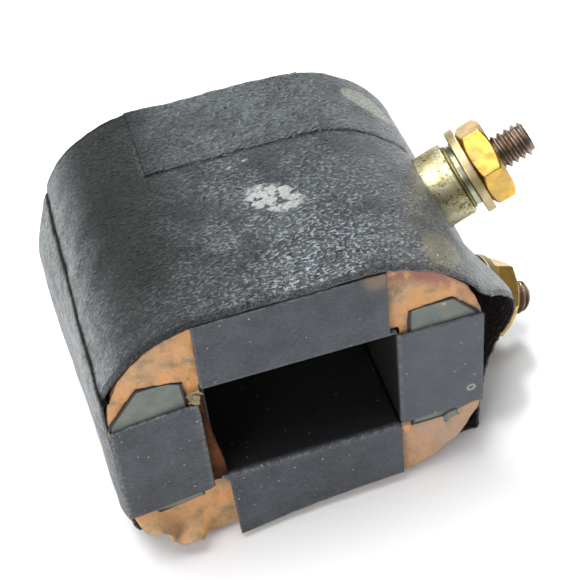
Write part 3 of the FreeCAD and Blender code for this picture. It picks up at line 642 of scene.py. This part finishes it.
def hole_distance(points, which):
    """Distance and direction of points from a stud's axis."""
    start, way = (np.array(part) for part in AXES[which])
    off = points - start
    off = off - (off @ way)[..., None] * way
    reach = np.linalg.norm(off, axis=-1)
    return reach, off / np.maximum(reach, 1e-6)[..., None]


def cloth_surface(s, y, lift=0.0):
    """The cloth's outer surface, normals and seam."""
    spot, out = SECTION.at(s), SECTION.outward(s)
    step, seam = seam_step(s, y)
    rise = wrinkles(spot, s, y) + step + lift + flare(spot, y)
    points = points_of(spot[..., 0] + out[..., 0] * rise, y, spot[..., 1] + out[..., 1] * rise)
    points[..., 2] = np.maximum(points[..., 2], FLOOR_Z)
    normal = points_of(out[..., 0], 0, out[..., 1])
    return points, normal, seam, spot


def cloth_masks(points, s, y, spot, seam, edge):
    """Numbers on the mesh that the cloth's material reads."""
    top = smooth(14.0, 25.0, spot[..., 1])
    # shine: the top front, where the lights glint; it raises the gloss and brightens the painted highlight flecks.
    shine = top * hill(spot[..., 0], 6.0, 19.0) * hill(y, 5.0, 19.0)
    # left and right: a painted reflection of bright surroundings; rear: the rear patch's real grey.
    left = smooth(SEAM + 7.5, SEAM + 1.0, s)
    right = smooth(29.0, 34.0, spot[..., 0]) * smooth(-24.0, 2.0, spot[..., 1])
    fray = smooth(28.5, 32.5, spot[..., 0]) * hill(y, 5.0, 10.0)
    collar = np.zeros_like(y)
    for which in AXES:
        reach, _ = hole_distance(points, which)
        collar = np.maximum(collar, 1 - smooth(CLOTH_HOLE + 0.3, CLOTH_HOLE + 2.6, reach))
    collar = collar * (spot[..., 0] > 20)
    lie = points_of(s, y, 0)
    blur = 3.0 * rough(points_of(s * 0.2, y * 0.2, 0), 28)
    # crown: painted shade over the left crown, which reflects dark surroundings, and a darker patch near the lap;
    # it also lowers the gloss.
    crown = smooth(SEAM + 3.0, SEAM + 12.0, s) * smooth(LAP + 13.0, LAP - 4.0, s + blur)
    crown *= 0.60 + 0.40 * smooth(0.0, 16.0, y + blur)
    crown = np.maximum(crown, 0.6 * hill(s + blur, LAP + 6.5, 6.5) * hill(y + blur, 8.0, 5.5))
    rear = 0.30 * smooth(30.0, 38.0, y) * smooth(LAP, LAP + 6.0, s) * top
    return {"lie": lie, "shine": shine, "reflection_and_grey": np.clip(left + 0.8 * right + rear, 0, 1), "fray": fray,
            "collar": collar, "seam": seam, "rim": edge, "crown": crown}


def open_holes(points, spot):
    """Pulls vertices onto the stud holes; returns what lies inside."""
    inside = np.zeros(points.shape[:-1], bool)
    for which in AXES:
        reach, away = hole_distance(points, which)
        near = (spot[..., 0] > 20) & (reach < CLOTH_HOLE)
        inside |= near & (reach < CLOTH_HOLE - 0.55)
        snap = near & (reach >= CLOTH_HOLE - 0.55)
        points[snap] += (away * (CLOTH_HOLE - reach)[..., None])[snap]
    return inside


def whole_faces(inside):
    """Which quads of a grid have no corner inside a hole."""
    wide = inside | np.roll(inside, -1, axis=1)
    return ~(wide[:-1] | wide[1:])


def slit_line(columns):
    """Where the slit across the wrap runs along Y."""
    return SLIT_Y + 0.22 * rough(points_of(columns * 0.16, 0, 0), 8)


def rear_edge(columns):
    """Where the cloth ends along Y."""
    return REAR_Y + 0.25 * rough(points_of(columns * 0.5, 4, 0), 9)


def rows_between(start, end, count, crowd=1.0):
    """Rows of Y, closer at the start when crowd is over 1."""
    share = np.linspace(0, 1, count)[:, None] ** crowd
    return start[None, :] + (end - start)[None, :] * share


def cloth_wrap():
    """The main wrap, without what the patch covers."""
    columns = cloth_columns()
    spot = SECTION.at(columns)
    ragged = 0.30 * rough(points_of(columns * 0.7, 0, 0), 7)
    start = front_edge(spot) + ragged * (0.4 + 1.2 * (spot[:, 0] > 29))
    wavy = slit_line(columns)
    end = rear_edge(columns)
    fore = rows_between(start, wavy, int(SLIT_Y / GRID_STEP) + 8, 1.12)
    aft = rows_between(wavy, end, int((REAR_Y - SLIT_Y) / GRID_STEP) + 1)
    y = np.concatenate([fore, aft[1:]])
    s = np.broadcast_to(columns, y.shape)
    points, normal, seam, place = cloth_surface(s, y)
    edge_gap = np.minimum(y - start, end - y)
    # edge, with the slit below, makes the rim that the material darkens as painted shade.
    edge = hill(edge_gap, 0.0, 0.95)
    tuck = smooth(-26.0, -31.0, place[..., 0]) * smooth(14.0, 8.0, place[..., 1])
    points -= normal * ((0.30 + 1.0 * tuck) * hill(edge_gap, 0.0, 1.2 + 1.3 * tuck))[..., None]
    thickness = CLOTH * (1 - 0.55 * hill(edge_gap, 0.0, 1.0))
    inside = open_holes(points, place)
    keep = whole_faces(inside)
    covered = (columns >= LAP) & (columns < PATCH_END)
    keep[len(fore) - 1:, :] &= ~covered[None, :]
    slit = hill(y - wavy, 0.0, 0.40) * covered
    masks = cloth_masks(points, s, y, place, seam, np.maximum(edge, slit))
    faces = grid_faces(*y.shape, loop=True, keep=keep)
    made = make_sheet("cloth_wrap_fabric", points, -normal * thickness[..., None], faces,
                      "varnished_cloth", masks)
    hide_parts("cloth_wrap")


def cloth_patch():
    """The rear patch, over the crown and down to the ridge."""
    columns = np.arange(LAP + 0.12, PATCH_END + 0.3, GRID_STEP)
    gape = 0.36 + 0.20 * np.abs(rough(points_of(columns * 0.8, 0, 0), 10))
    near_bush = hill(columns, SECTION.where(29.0, 17.0), 1.6)
    start = slit_line(columns) + gape + 0.9 * near_bush
    end = rear_edge(columns)
    y = rows_between(start, end, int((REAR_Y - SLIT_Y) / GRID_STEP) + 1)
    s = np.broadcast_to(columns, y.shape)
    lift = 0.22 * (1 - smooth(0.0, 3.4, s - LAP)) + 0.10 * hill(s, LAP + 3.3, 0.5)
    points, normal, seam, place = cloth_surface(s, y, lift)
    gap = np.minimum(np.minimum(y - start, end - y), s - LAP)
    points -= normal * (0.30 * hill(gap, 0.0, 0.35))[..., None]
    inside = open_holes(points, place)
    # The patch's edges get the same painted shade at the rim.
    masks = cloth_masks(points, s, y, place, seam, 0.8 * hill(gap, 0.0, 0.35))
    faces = grid_faces(*y.shape, keep=whole_faces(inside)[:, :-1])
    made = make_sheet("cloth_patch_fabric", points, -normal * CLOTH, faces, "varnished_cloth", masks)
    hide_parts("cloth_patch")


# ---- card, cheeks and papers
def card_strip(name, across, wall, reach, bend=None, torn=False):
    """A liner: one tunnel wall with flaps folded out at its ends.

    across is the direction over the strip's width, wall the distance of its face from the
    axis and reach how far the flaps stand out. bend may move the front flap's points, and a
    torn strip has no front flap.
    """
    width = np.linspace(-1, 1, 71)
    half = TUNNEL_X if across[0] else TUNNEL_Z - 0.8
    out = np.array((0.0, 0.0, 1.0) if across[0] else (1.0, 0.0, 0.0)) * np.sign(wall)
    faces_over = (across[0] - across[2]) * wall < 0
    across, tunnel = np.array(across), np.array((0.0, 1.0, 0.0))
    y, rise, turn = (part[:, None] + 0 * width for part in fold_route(reach, torn).T)
    side = width * half + 0 * y
    points = (side[..., None] * across + (abs(wall) + rise)[..., None] * out
              + y[..., None] * tunnel)
    flap = smooth(0.2, 1.2, rise)
    warp = 0.22 * rough(points * 0.10, 11) + 0.07 * rough(points * 0.5, 12)
    points[..., 1] += warp * flap
    ragged = 0.10 * rough(points * 0.9, 13) * (np.abs(width) > 0.985) * flap
    points += ragged[..., None] * across
    front = y < COIL_END / 2
    if bend:
        points = bend(points, width + 0 * y, rise / reach, front)
    back = tunnel * np.where(front, 1, -1)[..., None]
    inward = (np.sin(turn)[..., None] * back + np.cos(turn)[..., None] * out) * CARD
    faces = grid_faces(*y.shape, flip=faces_over)
    depth = np.minimum(y, COIL_END - y)
    # edge: the borders get rubbed wear, and the folds get a painted highlight.
    border = np.maximum(hill(np.abs(side), half, 0.25), hill(rise, reach, 0.3))
    fold = hill(rise, 0.0, 0.5) * hill(depth, 0.0, 0.8)
    # inner: the tunnel's inside, which the material paints in shade.
    inner = (1 - smooth(0.0, 0.25, rise)) * smooth(0.35, 0.8, depth)
    made = make_sheet(f"{name}_card", points, inward, faces, "pressboard",
                      {"edge": np.clip(0.55 * border + 0.8 * fold, 0, 1), "inside": inner})
    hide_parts(name)


def fold_route(reach, torn):
    """(y, rise, turn) along a strip: down a flap, round the fold, through the tunnel and out."""
    bend = 0.45
    corner = [(bend - bend * math.sin(a), bend - bend * math.cos(a), a)
              for a in np.linspace(0, math.pi / 2, 7)]
    flap = [(0.0, h, math.pi / 2) for h in np.linspace(bend, reach, 40)[1:]]
    mouth = TORN_Y if torn else bend
    route = [(y, 0.0, 0.0) for y in np.linspace(mouth, COIL_END - bend, 60)]
    if not torn:
        route = flap[::-1] + corner[::-1] + route[1:]
    return np.array(route[:-1] + [(COIL_END - y, h, a) for y, h, a in corner + flap])


def set_top(points, width, share, front):
    """The top flap is narrower at its end and sits to the left."""
    pull = smooth(0.0, 0.06, share) * front
    points[..., 0] -= pull * np.where(width > 0, 1.2 * width, -0.6 * width * (1 - 0.6 * share))
    return points


def sag_bottom(points, width, share, front):
    """The bottom flap's left corner is lifted forwards."""
    left = (1 - width) / 2
    pull = np.clip(share, 0, 1) * front
    points[..., 1] -= 2.0 * left ** 1.6 * pull ** 1.5
    points[..., 0] += 1.2 * left ** 3 * smooth(0.0, 0.08, share) * front
    points[..., 2] += (1.1 - 1.2 * left) * pull
    return points


def liners():
    """The four card strips; the left one has lost its front flap."""
    flat, upright = (1, 0, 0), (0, 0, 1)
    card_strip("liner_top", flat, TUNNEL_Z, high("liner_top")[2] - TUNNEL_Z + 0.45, set_top)
    card_strip("liner_bottom", flat, -TUNNEL_Z, -low("liner_bottom")[2] - TUNNEL_Z, sag_bottom)
    card_strip("liner_right", upright, TUNNEL_X, high("liner_right")[0] - TUNNEL_X)
    card_strip("liner_left", upright, -TUNNEL_X, -low("liner_left")[0] - TUNNEL_X, torn=True)


def plate(name, node, rows, y, thickness, material, warp, curl=None):
    """Card or paper: rows are (z, left x, right x) down its height."""
    table = np.array(rows, float)
    z = np.linspace(table[0, 0], table[-1, 0], 44)
    left = np.interp(-z, -table[:, 0], table[:, 1])
    right = np.interp(-z, -table[:, 0], table[:, 2])
    share = np.linspace(0, 1, 40)
    x = left[:, None] + (right - left)[:, None] * share
    depth = z[:, None] + 0 * x
    points = points_of(x, y, depth)
    points[..., 1] += warp * rough(points * 0.22, 14)
    rim = np.minimum(np.minimum(x - left[:, None], right[:, None] - x),
                     np.minimum(z[0] - depth, depth - z[-1]))
    ragged = 0.12 * rough(points * 1.1, 15) * (rim < 0.05)
    points[..., 0] += ragged
    points[..., 2] += ragged
    if curl is not None:
        points = curl(points)
    inward = points_of(0 * x, thickness, 0)
    faces = grid_faces(*x.shape, flip=True)
    # edge: fish paper blackens it, partly as painted shadow; card lightens it as rubbed wear.
    made = make_sheet(name, points, inward, faces, material,
                      {"edge": hill(rim, 0.0, 0.5), "inside": 0 * rim})
    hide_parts(node)


def lift_flap(points):
    """The loose flap stands a little proud at its torn edge."""
    points[..., 1] -= 0.35 * smooth(-24.0, -17.0, points[..., 0])
    return points


def loose_pieces():
    """The torn-off left flap and the four cheeks."""
    plate("flap_loose_card", "flap_loose", [(8.6, -19.0, -17.2), (7.1, -31.6, -17.1),
          (-13.1, -32.2, -17.2), (-15.5, -32.1, -30.6)], 0.0, CARD, "pressboard", 0.12, lift_flap)
    cheeks = {
        "cheek_front_left": [(15.2, -25.9, -24.8), (14.2, -26.8, -18.9), (8.0, -31.6, -18.5),
                             (-15.3, -31.6, -18.9), (-16.8, -29.5, -26.4)],
        "cheek_front_right": [(16.2, 24.4, 25.2), (15.6, 17.9, 25.8), (10.6, 17.7, 30.0),
                              (-11.2, 17.7, 30.0), (-13.3, 17.7, 23.4)],
    }
    for side, node in ((-1, "cheek_rear_left"), (1, "cheek_rear_right")):
        outer = max(abs(low(node)[0]), abs(high(node)[0]))
        top = high(node)[2]
        corners = [(top, 18.5, outer - 5.6), (top - 6.7, 18.5, outer), (low(node)[2], 18.5, outer)]
        cheeks[node] = [(z, *sorted((side * a, side * b))) for z, a, b in corners]
    for node, rows in cheeks.items():
        plate(f"{node}_paper", node, rows, low(node)[1] + 0.02, 0.36, "fish_paper", 0.06)


def end_paper(name, y, facing, crumple):
    """A creased ring of oiled paper, torn along its outer edge."""
    angles = np.linspace(0, TAU, 420, endpoint=False)
    wide, tall = TUNNEL_X + 0.7, TUNNEL_Z + 0.7
    window = Outline([(-wide, tall, 0.6), (wide, tall, 0.6), (wide, -tall, 0.6), (-wide, -tall, 0.6)])
    share = np.linspace(0, 1, 40)[:, None]
    around = points_of(np.cos(angles), np.sin(angles))
    torn = 0.35 * rough(points_of(angles * 12, 0, 0), 16)
    reach = window.radius(angles) + (PAPER.radius(angles) + torn - window.radius(angles)) * share
    points = points_of(reach * around[:, 0], y, reach * around[:, 1])
    heap = crumple * (0.35 * rough(points * 0.28, 17) - 0.30 * np.abs(rough(points * 0.5, 18)))
    points[..., 1] += heap * smooth(0.0, 0.3, share)
    if facing < 0:
        points = curl_corner(points, share, angles)
    inward = points_of(0 * reach, -0.2 * facing, 0)
    faces = grid_faces(*reach.shape, loop=True, flip=facing < 0)
    top_right = hill(angles, math.radians(50), math.radians(22))
    base_right = hill(angles, math.radians(322), math.radians(16))
    made = make_sheet(f"{name}_sheet", points, inward, faces, "oiled_kraft",
                      {"rimmed": smooth(0.74, 0.92, share) * top_right,
                       "faded": base_right + 0 * share})
    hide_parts(name)


def curl_corner(points, share, angles):
    """The front paper's bottom left corner is crushed forwards."""
    soft = rough(points_of(angles * 9, 0, 0), 19)
    first = hill(angles, math.radians(216), math.radians(6))
    second = hill(angles, math.radians(227), math.radians(4))
    where = np.maximum(first, second) * smooth(math.radians(236), math.radians(229), angles)
    rolled = np.clip((share - 0.68 - 0.06 * soft) / 0.32, 0, 1) * where
    lip = 0.95 + 0.3 * soft
    angle = rolled * (4.6 + soft)
    points[..., 1] -= lip * (1 - np.cos(angle)) + 1.2 * smooth(0.72, 0.95, share) * where
    pull = (rolled * 4.6 - lip * np.sin(angle)) * 0.45
    points[..., 0] -= np.cos(angles) * pull
    points[..., 2] -= np.sin(angles) * pull
    corner = hill(angles, math.radians(222), math.radians(14))
    corner *= smooth(math.radians(238), math.radians(229), angles)
    points[..., 1] -= 0.8 * smooth(0.6, 1.0, share) * corner
    return points


def former_lip():
    """The former's bare edge, where the left liner is torn off."""
    z = np.linspace(10.2, -12.6, 60)[:, None]
    lean = smooth(9.0, -12.0, z) ** 1.3
    edge = -16.35 + 1.85 * lean + 0.12 * rough(points_of(z * 0.6, 0, 0), 23)
    back = -TUNNEL_X + 0.1
    stops = [(-17.5, 0.78), (edge - 0.5, 0.66), (edge - 0.12, 0.60), (edge, 0.85),
             (edge - 0.05, 1.4), ((edge + back) / 2, 4.0), (back, 7.5)]
    places, shares = range(len(stops)), np.linspace(0, len(stops) - 1, 37)
    across = np.concatenate([place + 0 * edge for place, _ in stops], axis=1)
    x = np.array([np.interp(shares, places, row) for row in across])
    y = np.interp(shares, places, [depth for _, depth in stops])
    points = points_of(x, y, z)
    points[..., 1] += 0.10 * rough(points * 0.8, 24)
    inward = points_of(-0.3 + 0 * x, 0.3, 0)
    faces = grid_faces(*x.shape, flip=True)
    make_sheet("former_lip", points, inward, faces, "kraft_board")


def scraps():
    """Torn bits of paper in the mouth's corners."""
    spots = [(-17.4, 0.3, 11.0, 1.1, 0.3), (-17.2, 0.2, 9.9, 1.0, 1.4), (-17.7, 0.2, 9.2, 0.8, 2.3),
             (-18.0, -0.1, -13.4, 1.0, 0.8), (24.6, 0.2, -12.9, 1.4, 0.4), (16.5, 0.0, -12.4, 1.0, 2.0)]
    share = np.linspace(-1, 1, 15)
    for number, (x, y, z, size, turn) in enumerate(spots):
        u, v = np.meshgrid(share * size, share * size * 0.55)
        bow = 0.32 * size * (u / size) ** 2 + 0.10 * rough(points_of(u, v, number) * 1.7, 25)
        torn = 1 + 0.30 * rough(points_of(u * 2, v * 2, number), 26)
        across = u * math.cos(turn) - v * math.sin(turn)
        upward = u * math.sin(turn) + v * math.cos(turn)
        points = points_of(x + across * torn, y - bow, z + upward * torn)
        inward = points_of(0 * u, 0.14, 0)
        faces = grid_faces(*u.shape, flip=True)
        material = "fish_paper" if number == 4 else "lead_sleeve" if number < 3 else "oiled_kraft"
        make_sheet(f"scrap_{number}", points, inward, faces, material,
                   {"edge": 0 * u, "faded": 0 * u})


# ---- terminals
BOARD_LOW, BUSH_LOW, BUSH_TOP = 33.45, 34.2, 40.4
THIN_TOP, SPRING_TOP, FLAT_TOP = 40.9, 42.0, 43.6
NUT_LOW, NUT_TOP = 43.62, 48.2
THREAD_LOW, PITCH, THREAD_DEPTH = 40.5, 1.27, 0.7
STUD_RADIUS, NUT_FLATS, NUT_BORE = 3.175, 13.3, 3.23
TIPS = {"upper": 54.3, "lower": 53.2}


def on_stud(which, radius, angles, heights):
    """Points round a stud's axis."""
    start, way = AXES[which]
    along = Vector((0, 1, 0))
    return polar(radius, angles, heights) @ np.array((along.cross(way), along, way)) + start


def turned(name, which, radius, angles, heights, material, body, node, closed=True):
    """A piece turned about a stud's axis."""
    placed = on_stud(which, radius, angles, heights)
    rows, columns = radius.shape
    faces = grid_faces(rows, columns, loop=True)
    if closed:
        faces += [((rows - 1) * columns + j, (rows - 1) * columns + (j + 1) % columns,
                   (j + 1) % columns, j) for j in range(columns)]
    else:
        faces.append(tuple(reversed(range(columns))))
        faces.append(tuple((rows - 1) * columns + j for j in range(columns)))
    made = make_object(name, placed.reshape(-1, 3), faces, material, body)
    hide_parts(node)
    return made


def eased(profile, ease=0.12, steps=5):
    """A closed (radius, height) profile with every corner rounded."""
    out = []
    for index, corner in enumerate(profile):
        here = np.array(corner)
        following = np.array(profile[(index + 1) % len(profile)])
        before, after = np.array(profile[index - 1]) - here, following - here
        cut = min(ease, np.linalg.norm(before) * 0.45, np.linalg.norm(after) * 0.45)
        a = here + before / np.linalg.norm(before) * cut
        b = here + after / np.linalg.norm(after) * cut
        for t in np.linspace(0, 1, steps):
            out.append((1 - t) ** 2 * a + 2 * t * (1 - t) * here + t * t * b)
        out += [b + (following - b) * t for t in (0.3, 0.6)]
    return np.array(out)


def ring(name, which, profile, material, body, node, dents=0.0, ease=0.12):
    """A lathe-turned ring with eased corners and a little wear."""
    shape = eased(profile, ease)
    around = np.linspace(0, TAU, 128, endpoint=False)
    angles = np.broadcast_to(around, (len(shape), len(around)))
    radius = shape[:, :1] + 0 * angles
    heights = shape[:, 1:] + 0 * angles
    spots = polar(radius, angles, heights)
    wear = dents * rough(spots * 0.9, len(name)) * (radius > STUD_RADIUS + 0.8)
    return turned(name, which, radius + wear, angles, heights, material, body, node)


def ring_profile(bore, radius, start, end):
    """The profile of a plain ring."""
    return [(bore, start), (radius, start), (radius, end), (bore, end)]


def spring_washer(which):
    """A split ring whose ends spring slightly apart."""
    profile = eased(ring_profile(3.35, 5.85, THIN_TOP, SPRING_TOP), 0.15)
    around = np.linspace(0.13, TAU - 0.13, 120)[:, None]
    placed = on_stud(which, profile[:, 0], around, profile[:, 1])
    rows, columns = placed.shape[:2]
    faces = grid_faces(rows, columns, loop=True, flip=True)
    faces.append(tuple(range(columns)))
    faces.append(tuple(range(rows * columns - 1, (rows - 1) * columns - 1, -1)))
    made = make_object(f"spring_washer_{which}_ring", placed.reshape(-1, 3), faces,
                       "plated_steel", f"washers_{which}")
    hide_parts(f"spring_washer_{which}")


def nut(which):
    """A hexagon nut: flats met by cone chamfers, worn round."""
    around = np.linspace(0, TAU, 288, endpoint=False)
    height = NUT_TOP - NUT_LOW
    up = np.concatenate([[0.0], np.linspace(0.02, 1.5, 14), np.linspace(1.7, height - 1.7, 8),
                         np.linspace(height - 1.5, height - 0.02, 14), [height]])
    sector = np.mod(around, math.pi / 3) - math.pi / 6
    hexagon = NUT_FLATS / 2 / np.cos(sector)
    drop = np.minimum(up, height - up)
    cone = NUT_FLATS / 2 - 0.25 + drop * 1.75
    outer = -0.10 * np.log(np.exp(-hexagon[None, :] / 0.10) + np.exp(-cone[:, None] / 0.10))
    bore = np.array([NUT_BORE + 0.35, NUT_BORE, NUT_BORE, NUT_BORE + 0.35])
    bore_up = np.array([height, height - 0.35, 0.35, 0.0])
    radius = np.concatenate([outer, bore[:, None] + 0 * around[None, :]])
    heights = np.concatenate([up, bore_up])[:, None] + 0 * around + NUT_LOW
    angles = np.broadcast_to(around, radius.shape)
    spots = polar(radius, angles, heights)
    radius = radius + 0.05 * rough(spots * 0.6, 21) * (radius > 5)
    turned(f"nut_{which}_hexagon", which, radius, angles, heights, "bright_brass",
           f"nut_{which}_body", f"nut_{which}")


def stud(which):
    """The stud, with a right-hand helical thread."""
    tip = TIPS[which]
    around = np.linspace(0, TAU, 72, endpoint=False)
    shank = np.array([BOARD_LOW - 0.45, THREAD_LOW - 0.6])
    up = np.concatenate([shank, np.arange(THREAD_LOW, tip - 0.02, 0.085), [tip]])
    heights = up[:, None] + 0 * around
    angles = np.broadcast_to(around, heights.shape)
    phase = np.mod(heights / PITCH - angles / TAU, 1.0)
    wave = np.clip(np.abs(phase - 0.5) * 2 * 1.25 - 0.10, 0, 1)
    depth = THREAD_DEPTH * (1 - wave) * smooth(THREAD_LOW - 0.3, THREAD_LOW + 0.5, heights)
    taper = 0.75 * smooth(tip - 0.9, tip, heights)
    spots = polar(3, angles, heights)
    radius = np.minimum(STUD_RADIUS - depth, STUD_RADIUS - taper) + 0.02 * rough(spots * 1.4, 22)
    turned(f"stud_{which}_screw", which, radius, angles, heights, "brown_steel", "coil",
           f"stud_{which}", closed=False)


def bush(which):
    """The riveted bush, with its foot buried in the cloth."""
    profile = [(3.2, 32.95), (5.4, 32.95), (5.4, 33.2), (4.5, 33.2), (4.5, BUSH_LOW),
               (BUSH_RADIUS, BUSH_LOW), (BUSH_RADIUS, BUSH_TOP), (3.2, BUSH_TOP)]
    ring(f"bush_{which}_turned", which, profile, "plated_brass", "coil", f"bush_{which}",
         0.07, 0.45)


def terminals():
    """Both terminals from bush to nut."""
    for which in AXES:
        bush(which)
        stud(which)
        ring(f"thin_washer_{which}_ring", which, ring_profile(3.35, 6.0, BUSH_TOP + 0.02, THIN_TOP),
             "olive_brass", f"washers_{which}", f"thin_washer_{which}", 0.03)
        spring_washer(which)
        ring(f"flat_washer_{which}_ring", which, ring_profile(3.35, 7.9, SPRING_TOP, FLAT_TOP),
             "dull_brass", f"washers_{which}", f"flat_washer_{which}", 0.05, 0.22)
        nut(which)


# ---- what stays as the frame has it
def dress_nodes():
    """Gives every CAD node that still shows its slot's material."""
    slots = {part["node"]: part["material_slot"] for part in frame["record"]["subparts"]}
    for name, item in frame["nodes"].items():
        item.data.materials.clear()
        item.data.materials.append(MATERIALS[slots[name]])


# ---- floor, light and camera
def floor():
    """A plain pale floor."""
    side = 3000.0
    mesh = bpy.data.meshes.new("floor")
    corners = [(-side, -side), (side, -side), (side, side), (-side, side)]
    mesh.from_pydata([(x * MM, y * MM, FLOOR_Z * MM) for x, y in corners], [], [(0, 1, 2, 3)])
    g = Graph("pale_floor")
    grain = g.noise(g.place(), 0.02, 2.0)
    g.colour = g.mix(grain, (0.88, 0.88, 0.88), (0.92, 0.92, 0.92))
    mesh.materials.append(g.surface(0.7))
    made = bpy.data.objects.new("floor", mesh)
    bpy.context.scene.collection.objects.link(made)


def softbox(name, place, size, power, colour=(1, 1, 1)):
    """A square area light that faces the coil."""
    data = bpy.data.lights.new(name, "AREA")
    data.size = size
    data.energy = power
    data.color = colour
    made = bpy.data.objects.new(name, data)
    made.location = place
    made.rotation_euler = (-Vector(place)).to_track_quat("-Z", "Y").to_euler()
    bpy.context.scene.collection.objects.link(made)


def studio():
    """Soft pale surroundings and three soft boxes."""
    world = bpy.data.worlds.new("studio")
    world.use_nodes = True
    tree = world.node_tree
    background = tree.nodes["Background"]
    way = tree.nodes.new("ShaderNodeTexCoord")
    height = tree.nodes.new("ShaderNodeSeparateXYZ")
    sky = tree.nodes.new("ShaderNodeMapRange")
    for label, value in {"From Min": 0.30, "From Max": 0.90, "To Min": 0.14, "To Max": 0.60}.items():
        sky.inputs[label].default_value = value
    background.inputs["Color"].default_value = (0.93, 0.96, 1.0, 1.0)
    tree.links.new(way.outputs["Generated"], height.inputs[0])
    tree.links.new(height.outputs["Z"], sky.inputs["Value"])
    tree.links.new(sky.outputs[0], background.inputs["Strength"])
    bpy.context.scene.world = world
    softbox("overhead", (-0.15, 0.10, 0.85), 0.60, 7.6)
    softbox("behind", (0.14, 0.55, 0.54), 0.13, 4.2, (0.93, 0.97, 1.0))
    softbox("front left", (-0.60, -0.50, 0.45), 0.5, 4.2)
    bpy.context.scene.view_settings.view_transform = "Standard"


def camera():
    """The camera, in front, to the left and above."""
    data = bpy.data.cameras.new("camera")
    data.sensor_width = 36.0
    data.lens = 88.58
    made = bpy.data.objects.new("camera", data)
    right = Vector((0.95498, -0.28370, -0.08680))
    up = Vector((0.26519, 0.68510, 0.67847))
    back = Vector((-0.13301, -0.67094, 0.72949))
    turn = Matrix((right, up, back)).transposed().to_4x4()
    made.matrix_world = Matrix.Translation(Vector((-28.29, -140.69, 181.34)) * MM) @ turn
    bpy.context.scene.collection.objects.link(made)
    bpy.context.scene.camera = made


dress_nodes()
cloth_wrap()
cloth_patch()
liners()
loose_pieces()
end_paper("end_paper_front", PAPER_Y, -1, 1.0)
end_paper("end_paper_rear", high("end_paper_rear")[1], 1, 0.5)
former_lip()
scraps()
terminals()
floor()
studio()
camera()
